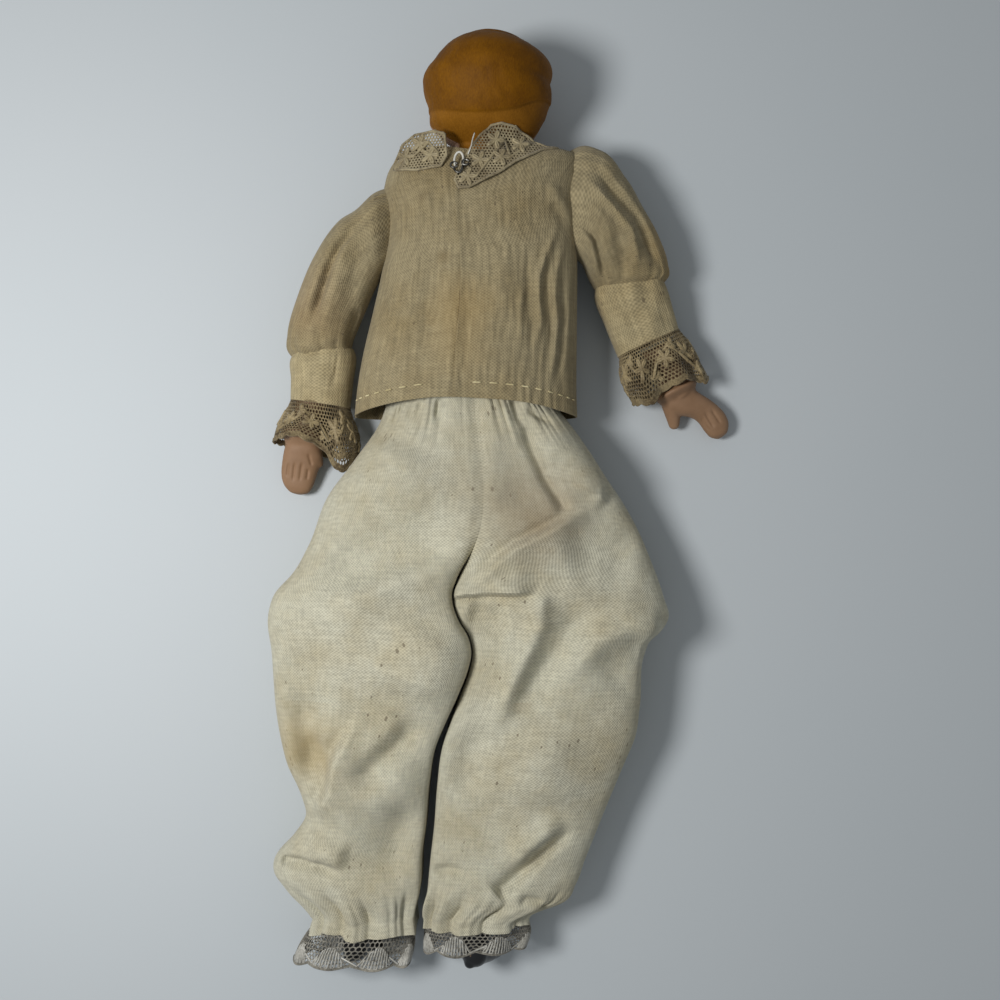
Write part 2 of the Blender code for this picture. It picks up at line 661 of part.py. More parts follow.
    # Cuff, and the lace frill below it
    rows, cores = [], []
    for r in range(3):
        t = r / 2
        turned = join.lerp(beyond, smooth(0.0, 0.6, t)).normalized()
        side5, up5 = limb_frame(turned)
        centre = elbow + join * GAP / 2 + beyond * CUFF_LENGTH * t
        rows.append(oval(centre, side5, up5, CUFF_HALF * (1.0 + 0.03 * t), CUFF_DEPTH, 20, 2.3))
        cores.append(centre)
    cloth("cuff_" + name, rows, cores, "gauze", CLOTH, True)
    frill("cuff_lace_" + name, elbow + join * GAP / 2 + beyond * (CUFF_LENGTH + GAP), beyond,
          CUFF_HALF - 0.0003, CUFF_DEPTH - 0.0006, CUFF_LACE_LENGTH, LACE_FLARE, 7, GAP)

# Legs
LEGS = {}
for name, sign in SIDES.items():
    left = name == "left"
    hip = Vector((HIP_SHIFT + sign * HIP_OUT, HIP_LINE, AXIS - 0.0004))
    swing = LEG_SWING_LEFT if left else LEG_SWING_RIGHT
    fall = math.asin((hip.z - ANKLE_HEIGHT) / (UPPER_LEG + LOWER_LEG))
    ahead = heading(swing, -1.0, fall)
    knee = hip + ahead * UPPER_LEG
    LEGS[name] = (hip, ahead)
    limb_casing("upper_leg_casing_" + name, hip, knee, ahead, ahead, LEG_HALF, KNEE_RIM)
    limb_stuffing("upper_leg_stuffing_" + name, hip, knee, ahead, LEG_HALF)
    limb_tie("leg_tie_" + name, knee, ahead, KNEE_RIM)

    # Bisque lower leg: rim, groove, calf, ankle and boot with a flat sole
    side, up = limb_frame(ahead)
    rings = []
    boot_top = LOWER_LEG - BOOT_HEIGHT
    groove = BEND_GAP + GROOVE_AT
    neck = groove + GROOVE_WIDTH * 1.5
    for step, half in ((BEND_GAP, KNEE_RIM - RIM_BEAD), (BEND_GAP + RIM_BEAD, KNEE_RIM),
                       (BEND_GAP + RIM_WIDTH, KNEE_RIM),
                       (groove - GROOVE_WIDTH / 2, KNEE_RIM - GROOVE),
                       (groove + GROOVE_WIDTH / 2, KNEE_RIM - GROOVE), (neck, CALF_HALF * 0.9),
                       (boot_top * 0.37, CALF_HALF), (boot_top * 0.59, CALF_HALF * 0.92),
                       (boot_top * 0.81, ANKLE_HALF * 1.08), (boot_top, ANKLE_HALF)):
        rings.append(oval(knee + ahead * step, side, up, half, half, 16))
    heel = ANKLE_HALF + 0.0004
    for t, back, toe, half in ((0.35, 1.0, 0.52, 1.02), (0.62, 1.02, 0.80, 1.04), (0.82, 1.02, 1.0, 1.0),
                               (1.0, 1.0, 1.0, 0.92)):
        length = heel * back + (BOOT_LENGTH - heel) * toe
        middle = knee + ahead * (boot_top + BOOT_HEIGHT * t) + up * (heel * back - length / 2)
        rings.append(oval(middle, side, up, BOOT_HALF * half, length / 2, 16, 2.3))
    loft("lower_leg_" + name, rings, "bisque")

# Bloomers: shares of the reach out from the leg's axis and of the height, by drop from the waist
WAIST = WAIST_TOP / BLOOMERS_HEIGHT
ANKLE = ANKLE_TOP / BLOOMERS_HEIGHT
BLOOMERS = {
    "left": [
        (0.045, 0.414, WAIST - 0.04), (0.15, 0.624, 0.98), (0.30, 0.851, 1.00), (0.415, 0.890, 0.97),
        (0.55, 0.779, 0.92), (0.68, 0.613, 0.86), (0.785, 0.464, ANKLE + 0.10),
        (0.85, 0.514, ANKLE + 0.06), (0.895, 0.575, ANKLE + 0.05), (0.94, 0.486, ANKLE + 0.03),
        (0.977, 0.331, ANKLE + 0.01), (1.0, 0.293, ANKLE)],
    "right": [
        (0.045, 0.409, WAIST - 0.04), (0.15, 0.613, 0.98), (0.30, 0.840, 1.00), (0.415, 1.000, 0.98),
        (0.46, 0.950, 0.96), (0.55, 0.917, 0.92), (0.65, 0.890, 0.87), (0.76, 0.801, ANKLE + 0.12),
        (0.85, 0.707, ANKLE + 0.07), (0.93, 0.552, ANKLE + 0.04), (0.973, 0.387, ANKLE + 0.01),
        (1.0, 0.326, ANKLE)],
}
# Each fold: its two ends as shares of the length, its height and its half width
FOLDS = [
    ((0.000, -0.354), (0.265, -0.124), 1.0, 1.07),
    ((0.018, -0.372), (0.177, -0.407), 0.8, 0.93),
    ((-0.319, -0.690), (-0.115, -0.549), 0.8, 1.00),
    ((-0.265, -0.265), (-0.106, -0.106), 0.6, 1.13),
    ((0.265, -0.796), (0.088, -0.531), 0.7, 1.07),
    ((0.071, -0.018), (0.088, -0.159), 0.7, 0.73),
    ((-0.053, -0.018), (-0.071, -0.142), 0.6, 0.73),
]
CROTCH = CROTCH_DROP / BLOOMERS_LENGTH


def fold(x, y):
    """Height of the main folds over a spot of the bloomers."""
    total = 0.0
    for start, end, share, width in FOLDS:
        run = (Vector(end) - Vector(start)) * BLOOMERS_LENGTH
        off = Vector((x, y)) - Vector(start) * BLOOMERS_LENGTH
        t = min(max(off.dot(run) / run.length_squared, 0.0), 1.0)
        gap = (off - run * t).length
        bump = math.exp(-((gap / (width * FOLD_HALF)) ** 2))
        total += share * FOLD_HEIGHT * bump * math.sin(math.pi * (0.1 + 0.8 * t))
    return total


def leg_line(name, y):
    hip, ahead = LEGS[name]
    return hip.x + ahead.x / ahead.y * min(y - hip.y, 0.0)


def inseam(y):
    return (leg_line("left", y) + leg_line("right", y)) / 2


def bloomers_row(name, v, count):
    sign = SIDES[name]
    y = BLOOMERS_WAIST - BLOOMERS_LENGTH * v
    spread = GAP * 0.5 + INSEAM_SPREAD * smooth(0.72, 1.0, v)
    medial = inseam(y) + sign * spread
    waist_reach = WAIST_HALF + WAIST_LAYERS - abs(leg_line(name, 0.0)) - GAP
    stations = [(0.0, waist_reach / BLOOMERS_REACH, WAIST)] + BLOOMERS[name]
    reach, height = along(stations, v)
    outer = leg_line(name, y) + sign * reach * BLOOMERS_REACH
    top = height * BLOOMERS_HEIGHT
    under = smooth(0.05, 0.12, v)
    bottom = (AXIS - WAIST_DEPTH - WAIST_LAYERS) * (1.0 - under) - FLAT_CUT * under
    middle, half = (top + bottom) / 2, (top - bottom) / 2
    pinch = smooth(0.16, CROTCH, v)
    gather = smooth(0.86, 1.0, v) * (1.0 - 0.5 * smooth(0.97, 1.0, v)) + 0.5 * smooth(0.16, 0.02, v)
    row = []
    for k in range(count):
        u = k / (count - 1) if v < CROTCH else k / count
        open_turn, shut_turn = math.pi * u, 2.0 * math.pi * u
        x = ((1.0 - pinch) * (medial + (outer - medial) * math.sin(open_turn) ** 0.85)
             + pinch * ((medial + outer) / 2 + (medial - outer) / 2 * math.cos(shut_turn)))
        lift = (1.0 - pinch) * math.cos(open_turn) + pinch * math.sin(shut_turn)
        lift = math.copysign(abs(lift) ** 0.85, lift)
        z = middle + half * lift
        if lift > 0.0 and v > 0.06:
            z += fold(x, y) * lift
            z += ANKLE_PLEAT * 0.45 * gather * math.sin(x / ANKLE_PLEAT) * lift
        row.append(Vector((x, y, max(z, 0.0))))
    return row


for name, sign in SIDES.items():
    seat = [bloomers_row(name, (CROTCH - 0.0002) * r / 8, 19) for r in range(9)]
    cores = [Vector(((row[0].x + row[-1].x) / 2, row[0].y, AXIS)) for row in seat]
    cloth("bloomers_seat_" + name, seat, cores, "ivory", CLOTH, False)
    first = CROTCH + GAP / BLOOMERS_LENGTH
    leg = [bloomers_row(name, first + (1.0 - first) * r / 15, 24) for r in range(16)]
    cores = [sum(row, Vector()) / len(row) for row in leg]
    cloth("bloomers_leg_" + name, leg, cores, "ivory", CLOTH, True)

    # Elastic in the ankle channel, and the lace frill at the ankle
    for last, look in ((0.985, "ankle_elastic_"), (1.0, "ankle_lace_")):
        row = bloomers_row(name, last, 24)
        low = min(point.z for point in row)
        high = max(point.z for point in row)
        left_x = min(point.x for point in row)
        right_x = max(point.x for point in row)
        centre = Vector(((left_x + right_x) / 2, row[0].y, (low + high) / 2))
        half, depth = (right_x - left_x) / 2, (high - low) / 2
        if look == "ankle_elastic_":
            inset = CLOTH + GAP + ELASTIC_RADIUS + 0.0006
            wire(look + name, oval(centre, X, Z, half - inset, depth - inset, 20, 2.2),
                 ELASTIC_RADIUS, "elastic", 5, True)
        else:
            frill(look + name, centre - Y * GAP + Z * 0.0003, heading(0.0, 1.0, 0.0), half - 0.0006,
                  depth - 0.0004, ANKLE_LACE_LENGTH, LACE_FLARE * 0.7, 8, GAP)

# Elastic in the waist channel
waist_half = WAIST_HALF + GAP + ELASTIC_RADIUS
waist_depth = WAIST_DEPTH + GAP + ELASTIC_RADIUS
waist_ring = oval(Vector((0, BLOOMERS_WAIST - 0.0012, AXIS)), X, Z, waist_half, waist_depth, 24, 2.3)
wire("waist_elastic", [posture(point) for point in waist_ring], ELASTIC_RADIUS, "elastic", 5, True)
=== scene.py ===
"""Small bisque shoulder-head doll lying face down, in a gauze blouse and muslin bloomers.

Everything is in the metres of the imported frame: +Y to the head, +Z up from the table to the
doll's back.  Shapes are worked out in millimetres and laid down through MM.
"""
import math

import bpy
import numpy as np
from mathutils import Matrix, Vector


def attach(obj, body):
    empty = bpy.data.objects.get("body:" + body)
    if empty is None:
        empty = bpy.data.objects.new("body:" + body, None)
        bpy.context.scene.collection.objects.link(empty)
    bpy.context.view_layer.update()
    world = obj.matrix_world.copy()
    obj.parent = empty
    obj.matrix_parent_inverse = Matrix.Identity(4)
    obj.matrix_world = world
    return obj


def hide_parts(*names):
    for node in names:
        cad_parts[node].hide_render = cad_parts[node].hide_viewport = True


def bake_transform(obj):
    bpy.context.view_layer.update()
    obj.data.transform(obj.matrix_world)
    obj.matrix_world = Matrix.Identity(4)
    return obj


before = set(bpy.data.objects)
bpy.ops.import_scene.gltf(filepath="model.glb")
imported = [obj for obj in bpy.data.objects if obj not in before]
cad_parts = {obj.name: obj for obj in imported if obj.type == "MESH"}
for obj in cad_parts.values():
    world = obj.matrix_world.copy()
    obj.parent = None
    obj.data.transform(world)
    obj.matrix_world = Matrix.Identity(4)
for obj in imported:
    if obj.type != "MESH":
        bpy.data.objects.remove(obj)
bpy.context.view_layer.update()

# The table, the lamp and the camera.  A pale painted table top seen from straight above, with one
# soft lamp at the left that throws the shadow to the right, and a weak even light from all round.
MM = 0.001
VIEW_MIDDLE = (7.3, -41.2)
VIEW_WIDTH = 214.6
VIEW_HEIGHT = 12.0      # height over the table at which the view is that wide
VIEW_ANGLE = math.radians(45.0)
TABLE_SIZE, TABLE_TOP = 4.0, -0.00005
LAMP_SPOT = (-0.165, -0.030, 0.265)
LAMP_AIM = (0.0, -0.04, 0.0)
LAMP_SIZE, LAMP_POWER = 0.09, 0.68
ROOM_LIGHT = 0.32


def linear(code):
    """Linear colour of an sRGB hex code."""
    parts = [int(code[k:k + 2], 16) / 255 for k in (1, 3, 5)]
    return (*[p / 12.92 if p <= 0.04045 else ((p + 0.055) / 1.055) ** 2.4 for p in parts], 1.0)


def feed(made, inputs):
    """Fill a node's inputs, each with a value, a hex colour, a socket, or a node's first output."""
    for key, value in inputs.items():
        if isinstance(value, bpy.types.Node):
            value = next(socket for socket in value.outputs if socket.enabled)
        if isinstance(value, bpy.types.NodeSocket):
            made.id_data.links.new(value, made.inputs[key])
        else:
            made.inputs[key].default_value = linear(value) if isinstance(value, str) else value


def node(tree, kind, inputs=None, **settings):
    """Add one shader node with its settings and its inputs."""
    made = tree.nodes.new("ShaderNode" + kind)
    for key, value in settings.items():
        setattr(made, key, value)
    feed(made, inputs or {})
    return made


def surface(name, values):
    """New material with its shader's own values; gives it, its tree, its shader and a spot's place."""
    made = bpy.data.materials.new(name)
    made.use_nodes = True
    shader = made.node_tree.nodes["Principled BSDF"]
    feed(shader, values)
    return made, made.node_tree, shader, node(made.node_tree, "TexCoord").outputs["Object"]


bpy.ops.object.select_all(action="DESELECT")
bpy.ops.mesh.primitive_plane_add(size=TABLE_SIZE, location=(0.0, 0.0, TABLE_TOP))
table = bpy.context.object
table.name = "table"
paint, tree, shader, spot = surface("painted table top", {"Roughness": 0.6})
cloud = node(tree, "TexNoise", {"Vector": spot, "Scale": 9.0, "Detail": 3.0})
tint = node(tree, "Mix", {"Factor": cloud, "A": "#BFC6C9", "B": "#C6CACC"}, data_type="RGBA")
feed(shader, {"Base Color": tint})
table.data.materials.append(paint)

world = bpy.data.worlds.new("room")
bpy.context.scene.world = world
world.use_nodes = True
feed(world.node_tree.nodes["Background"], {"Color": "#E9EEF2", "Strength": ROOM_LIGHT})

bpy.ops.object.light_add(type="AREA", location=LAMP_SPOT)
lamp = bpy.context.object
lamp.name = "soft lamp"
lamp.data.shape = "DISK"
lamp.data.size = LAMP_SIZE
lamp.data.energy = LAMP_POWER
lamp.rotation_euler = (Vector(LAMP_AIM) - lamp.location).to_track_quat("-Z", "Y").to_euler()

bpy.ops.object.camera_add()
camera = bpy.context.object
camera.data.sensor_fit = "HORIZONTAL"
camera.data.angle = VIEW_ANGLE
camera.data.clip_start = 0.01
rise = VIEW_HEIGHT + VIEW_WIDTH / 2 / math.tan(VIEW_ANGLE / 2)
camera.location = (VIEW_MIDDLE[0] * MM, VIEW_MIDDLE[1] * MM, rise * MM)
bpy.context.scene.camera = camera
bpy.context.scene.view_settings.view_transform = "Standard"

# The body: a bag of plain muslin, sewn up the sides and stuffed hard with cotton.  The shoulder plate of
# the head is glued down over its top.
AXIS = 11.1             # height of the body's axis over the table
SHOULDER = 21.0
LEAN, TILT = 3.4, 0.15  # how far the upper body leans, and how its shoulder line tilts
LEAN_FROM = -24.0
TILT_END = (28.0, 35.0)
BODY_BLUNT = 0.87       # below 1, the cross-section fills out towards a rectangle
BODY = [(-42.0, 0.0, 0.0), (-41.6, 7.0, 2.9), (-40.6, 13.6, 6.2), (-36.0, 16.1, 7.7), (-28.0, 15.2, 7.3),
        (-20.0, 14.1, 6.9), (-8.0, 14.9, 7.3), (2.0, 15.6, 7.6), (12.0, 15.9, 7.5), (19.0, 15.4, 6.9),
        (24.0, 12.8, 5.4), (25.6, 7.0, 3.0), (26.0, 0.0, 0.0)]      # along, half width, half depth
MERGE = 0.004           # points nearer than this are one
MUSLIN_THREAD = 0.62    # thread spacing, drawn coarser than the likely 0.34 so that it shows


def ease(low, high, t):
    """Smooth step from 0 at low to 1 at high."""
    s = np.clip((t - low) / (high - low), 0.0, 1.0)
    return s * s * (3.0 - 2.0 * s)


def profile(stations, t):
    """Smooth curve through stations of (place, value), the places rising."""
    at, value = np.array(stations, float).T
    slope = np.gradient(value, at)
    k = np.clip(np.searchsorted(at, t) - 1, 0, len(at) - 2)
    span = at[k + 1] - at[k]
    s = np.clip((t - at[k]) / span, 0.0, 1.0)
    return ((2 * s**3 - 3 * s**2 + 1) * value[k] + (s**3 - 2 * s**2 + s) * slope[k] * span
            + (3 * s**2 - 2 * s**3) * value[k + 1] + (s**3 - s**2) * slope[k + 1] * span)


def profiles(stations, t):
    """One such curve for each value of stations that have several."""
    at, *values = np.array(stations, float).T
    return [profile(np.stack([at, value], 1), t) for value in values]


def spaced(stations, v):
    """Each value of stations taken as evenly spaced, from the first at v = 0 to the last at v = 1."""
    table = np.array(stations, float)
    steps = np.arange(len(table))
    return [np.interp(v * steps[-1], steps, column) for column in table.T]


def blunted(t, power):
    """Power of a sine or cosine that keeps its sign."""
    return np.sign(t) * np.abs(t) ** power


def spots(piece):
    """Places of a mesh's points, in millimetres."""
    flat = np.empty(len(piece.data.vertices) * 3)
    piece.data.vertices.foreach_get("co", flat)
    return flat.reshape(-1, 3) / MM


def put(piece, places):
    """Move a mesh's points to places in millimetres."""
    piece.data.vertices.foreach_set("co", (np.array(places) * MM).ravel())
    piece.data.update()


def lay(name, columns, rows, place, closed=True):
    """Grid whose points place(u, v) gives, u across and v along; closed merges its seam and its ends."""
    bpy.ops.object.select_all(action="DESELECT")
    bpy.ops.mesh.primitive_grid_add(x_subdivisions=columns, y_subdivisions=rows, size=1000.0 * MM)
    piece = bpy.context.object
    piece.name = piece.data.name = name
    u, v = spots(piece)[:, :2].T / 1000.0 + 0.5
    put(piece, np.stack(place(u, v)[:3], axis=1))
    bpy.ops.object.mode_set(mode="EDIT")
    bpy.ops.mesh.select_all(action="SELECT")
    if closed:
        bpy.ops.mesh.remove_doubles(threshold=MERGE * MM)
    bpy.ops.mesh.normals_make_consistent(inside=False)
    bpy.ops.object.mode_set(mode="OBJECT")
    middle = Vector(spots(piece).mean(axis=0) * MM)
    outward = sum((face.center - middle).dot(face.normal) * face.area for face in piece.data.polygons)
    if outward < 0.0:
        piece.data.flip_normals()
    bpy.ops.object.shade_smooth()
    return piece


def woven(name, size, thread, light, dark, contrast, ribs=0.0, dirt_and_shade=()):
    """Plain-woven cotton, yellowed: dull, with crossing threads of uneven thickness, a few brown specks,
    old stains and patches of painted shade.  size is the cloth laid flat; ribs says how much it is streaked
    along."""
    dull = {"Roughness": 0.93, "Sheen Weight": 0.12, "Specular IOR Level": 0.2}
    made, tree, shader, spot = surface(name, dull)
    flat = node(tree, "Mapping", {"Vector": spot.node.outputs["UV"], "Scale": (*size, 1.0)})
    over, uneven = [], []
    for way, slub in (("X", (1.7, 0.3, 1.0)), ("Y", (0.3, 1.7, 1.0))):
        wave = node(tree, "TexWave", {"Vector": flat, "Scale": math.pi / 10.0 / thread, "Distortion": 3.4,
                                      "Detail": 2.0, "Detail Scale": 0.7}, bands_direction=way)
        over.append(node(tree, "Math", {0: wave.outputs["Fac"], 1: 0.5}, operation="SUBTRACT"))
        drawn = node(tree, "Mapping", {"Vector": flat, "Scale": slub})
        uneven.append(node(tree, "TexNoise", {"Vector": drawn, "Scale": 1.0, "Detail": 2.0}))
    cross = node(tree, "Math", {0: over[0], 1: over[1]}, operation="MULTIPLY")
    thick = node(tree, "Math", {0: uneven[0], 1: uneven[1]}, operation="ADD")
    weave = node(tree, "Math", {0: cross, 1: 1.7, 2: thick}, operation="MULTIPLY_ADD")
    cloud = node(tree, "TexNoise", {"Vector": spot, "Scale": 60.0, "Detail": 4.0, "Roughness": 0.62})
    worn = node(tree, "MapRange", {"Value": cloud, "From Min": 0.40, "From Max": 0.72})
    last = node(tree, "Mix", {"Factor": worn, "A": light, "B": dark}, data_type="RGBA")
    shade = node(tree, "MapRange", {"Value": weave, "From Min": 0.55, "From Max": 1.45,
                                    "To Min": 1.0 - 0.17 * contrast, "To Max": 1.0 + 0.16 * contrast})
    tones = [shade]
    if ribs:
        long = node(tree, "Mapping", {"Vector": flat, "Scale": (1.1, 0.10, 1.0)})
        streak = node(tree, "TexNoise", {"Vector": long, "Scale": 1.0, "Detail": 3.0, "Roughness": 0.6})
        tones.append(node(tree, "MapRange", {"Value": streak, "From Min": 0.3, "From Max": 0.7,
                                             "To Min": 1.0 - 0.16 * ribs, "To Max": 1.0 + 0.14 * ribs}))
        weave = node(tree, "Math", {0: streak, 1: 2.4 * ribs, 2: weave}, operation="MULTIPLY_ADD")
    for tone in tones:
        last = node(tree, "Mix", {"Factor": 1.0, "A": last, "B": tone}, data_type="RGBA",
                    blend_type="MULTIPLY")
    fibre = node(tree, "Mapping", {"Vector": flat, "Scale": (0.62, 0.30, 1.0)})
    speck = node(tree, "TexVoronoi", {"Vector": fibre, "Scale": 1.0, "Randomness": 1.0})
    few = node(tree, "TexNoise", {"Vector": spot, "Scale": 60.0, "Detail": 1.0})
    reach = node(tree, "MapRange", {"Value": few, "From Min": 0.42, "From Max": 0.66, "To Max": 0.16})
    inside = node(tree, "Math", {0: speck, 1: reach}, operation="LESS_THAN")
    dots = node(tree, "Math", {0: inside, 1: 0.6}, operation="MULTIPLY")
    last = node(tree, "Mix", {"Factor": dots, "A": last, "B": "#5E5140"}, data_type="RGBA")
    # Patches round given middles: real stains, and on the bloomers and the right sleeve also painted shade.
    for middle, wide, strength, colour in dirt_and_shade:
        off = node(tree, "VectorMath", {0: spot, 1: [m * MM for m in middle]}, operation="DISTANCE")
        ragged = node(tree, "Math", {0: cloud, 1: -0.9 * wide * MM, 2: off}, operation="MULTIPLY_ADD")
        stain_and_shade_mask = node(tree, "MapRange", {"Value": ragged, "From Min": wide * MM, "From Max": -0.4 * wide * MM,
                                        "To Max": strength})
        last = node(tree, "Mix", {"Factor": stain_and_shade_mask, "A": last, "B": colour}, data_type="RGBA")
    bump = node(tree, "Bump", {"Height": weave, "Strength": 0.55, "Distance": 0.0002})
    feed(shader, {"Base Color": last, "Normal": bump})
    return made


def bag_muslin(name, width, length):
    """The unbleached muslin of the body and limbs."""
    return woven(name, (width, length), MUSLIN_THREAD, "#BCB8A3", "#AFA588", 1.0)


def dress(piece, finish, slot, *nodes):
    """Give a piece its finish and hide the imported nodes that it stands for; slot is not used."""
    piece.data.materials.append(finish)
    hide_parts(*nodes)


def leaning(y):
    """How far the upper body is shifted at a height, and how steeply it tilts there."""
    lean = ease(LEAN_FROM, SHOULDER, y)
    return LEAN * lean, TILT * lean * (1.0 - ease(*TILT_END, y))


def posture(x, y):
    """Where a point of the straight upper body comes to lie: it leans, and its shoulders tilt."""
    shift, tilt = leaning(y)
    return x + shift, y + tilt * x


def body_shape(u, v):
    """The stuffed bag, drawn in and puckered along its side seams."""
    y = spaced(BODY, v)[0]
    half, depth = profiles(BODY, y)
    c, s = np.cos(math.tau * u), np.sin(math.tau * u)
    seam = 1.0 - 0.035 * np.exp(-(s / 0.10) ** 2)
    pucker = 1.0 + 0.012 * np.sin(y * 2.6) * np.exp(-(s / 0.35) ** 2)
    x = half * blunted(c, BODY_BLUNT) * seam * pucker
    return (*posture(x, y), AXIS + depth * blunted(s, BODY_BLUNT))


body = lay("stuffed_body", 72, 96, body_shape)
dress(body, bag_muslin("muslin of the body bag", 96.0, 70.0), "muslin", "torso_casing", "torso_stuffing")
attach(body, "torso")

# The head: one piece of unglazed bisque with its shoulder plate, cast hollow.  The short hair is
# modelled in the clay and painted a flat golden brown, with the face painted on the pale skin.
NECK = (3.4, 34.0)
HEAD_LEAN = math.radians(-6.0)
HEAD_COS, HEAD_SIN = math.cos(HEAD_LEAN), math.sin(HEAD_LEAN)
HEAD_TALL = 23.7
HEAD_MIDDLE = 13.6      # height of the head's middle over the table
HEAD_LEFT = [(0.0, 5.7), (1.2, 8.2), (3.4, 11.2), (5.7, 11.7), (7.5, 12.1), (8.6, 12.7), (10.9, 13.4),
             (13.0, 13.6), (14.7, 12.9), (16.2, 11.9), (18.3, 10.6), (20.8, 8.4), (22.4, 5.8), (23.2, 3.1),
             (23.7, 0.0)]
HEAD_RIGHT = [(0.0, 5.7), (1.5, 8.4), (3.0, 10.4), (4.4, 11.3), (6.4, 12.2), (8.5, 13.0), (10.4, 13.35),
              (12.7, 13.2), (14.2, 12.7), (15.3, 12.9), (17.0, 12.9), (18.5, 12.2), (20.2, 10.4),
              (21.7, 7.7), (23.1, 4.2), (23.7, 0.0)]
HEAD_DEPTH = [(0.0, 5.5, 5.5), (2.2, 10.1, 8.3), (4.5, 11.3, 10.4), (8.5, 11.4, 12.0), (13.2, 11.8, 13.2),
              (16.5, 11.7, 12.9), (19.7, 9.9, 10.8), (21.9, 6.8, 7.5), (23.3, 3.5, 3.9), (23.7, 0.0, 0.0)]
PLATE_LOW, PLATE_TOP, POCKET_END = 13.0, 34.0, 26.0     # the pocket is the plate's hollow underside
PLATE_BLUNT = 0.91
PLATE = [(13.0, 18.0, 9.6), (21.0, 17.5, 8.8), (26.0, 15.1, 7.5), (29.6, 10.0, 6.6), (32.0, 8.0, 6.0),
         (34.0, 5.7, 5.6)]
PLATE_WALL = 1.6
POCKET_ROWS, PLATE_ROWS = 0.07, 0.27    # shares of the mesh's rows up to the plate's rim and to the neck
HAIR_HIGH, HAIR_BRUSHED = 0.30, 0.05    # how far the hair stands out, and how uneven it is
ROLL_LEFT, ROLL_MORE = 0.22, 0.30       # the roll at the nape at the left, and how much more at the right
HAIRLINE = [(-1.0, 18.6), (-0.75, 17.6), (-0.5, 14.6), (-0.25, 9.6), (-0.05, 3.5), (0.2, -0.5), (1.0, -3.0)]
NAPE_LINE = [(-14.0, 6.4), (-9.6, 5.2), (0.0, 4.6), (7.1, 6.6), (10.3, 8.6), (14.0, 10.5)]
FACE_RELIEF = [         # across, along, half width, half height, how far out
    (0.0, 8.5, 1.10, 1.05, 1.35), (0.85, 8.1, 0.6, 0.55, 0.45), (0.0, 10.6, 0.85, 1.9, 0.85),
    (4.2, 12.0, 2.1, 1.35, -0.65), (4.3, 11.6, 1.45, 0.80, 0.62), (4.4, 13.9, 2.5, 0.9, 0.25),
    (5.4, 7.4, 2.8, 2.5, 0.45), (0.65, 5.85, 1.0, 0.42, 0.42), (0.0, 5.0, 1.25, 0.48, 0.52),
    (0.0, 5.42, 1.7, 0.20, -0.42), (0.0, 6.7, 0.42, 0.6, -0.20), (0.0, 4.15, 1.4, 0.40, -0.28),
    (0.0, 2.7, 2.3, 1.2, 0.75),
]
FACE_PAINT = [          # across, along, half width, half height, turn, softness, colour, strength
    (5.5, 7.3, 2.9, 2.2, 0.0, 0.9, "#B8644C", 0.50),
    (4.4, 14.0, 2.0, 0.30, 0.12, 0.5, "#5E3C1A", 0.85),
    (4.3, 12.75, 1.6, 0.16, 0.0, 0.5, "#8F5F47", 0.60),
    (4.3, 11.85, 1.85, 0.92, 0.0, 0.12, "#3A261A", 0.95),
    (4.3, 11.66, 1.72, 0.80, 0.0, 0.10, "#D8CFC0", 1.0),
    (4.25, 11.72, 0.78, 0.78, 0.0, 0.10, "#4F6676", 1.0),
    (4.25, 11.74, 0.40, 0.40, 0.0, 0.15, "#120F0C", 1.0),
    (4.0, 12.0, 0.15, 0.15, 0.0, 0.3, "#F2F0EC", 1.0),
    (0.62, 7.75, 0.26, 0.16, 0.0, 0.4, "#8A4A3A", 0.80),
    (0.62, 5.82, 0.98, 0.40, -0.20, 0.25, "#9A4038", 0.90),
    (0.0, 5.05, 1.28, 0.44, 0.0, 0.25, "#A54A40", 0.90),
    (0.0, 5.43, 1.55, 0.09, 0.0, 0.5, "#5E241E", 0.90),
]


def ripple(x, y, size, seed):
    """Gentle unevenness of about this size in millimetres, mostly between -1 and 1."""
    chance = np.random.default_rng(seed)
    total = np.zeros_like(x)
    for _ in range(7):
        turn = chance.uniform(0.0, math.pi)
        step = math.tau / (size * chance.uniform(0.7, 1.6))
        shift = chance.uniform(0.0, math.tau)
        total += np.sin((x * math.cos(turn) + y * math.sin(turn)) * step + shift)
    return total / 4.0


def faces_back(x, z):
    """How far a spot of the head faces the back, from -1 at the face to 1."""
    return z / np.maximum(np.hypot(x, z), 1e-6)


def hair_cover(x, y, z):
    """How far a spot of the head, in its own millimetres, lies under the hair."""
    return ease(-0.35, 0.35, y - profile(HAIRLINE, faces_back(x, z)))


def nape_roll(x, y, z):
    """The hair above the crease at the nape."""
    return ease(-0.25, 0.25, y - profile(NAPE_LINE, x)) * ease(-0.2, 0.3, faces_back(x, z))


def head_half(right, t):
    """Half the head's width at a height above the neck, on its right or its left."""
    return np.where(right, profile(HEAD_RIGHT, t), profile(HEAD_LEFT, t))


def head_middle(t):
    """Height of the head's middle over the table: the body's own at the neck, then higher."""
    return AXIS + (HEAD_MIDDLE - AXIS) * ease(-3.7, 11.2, t)


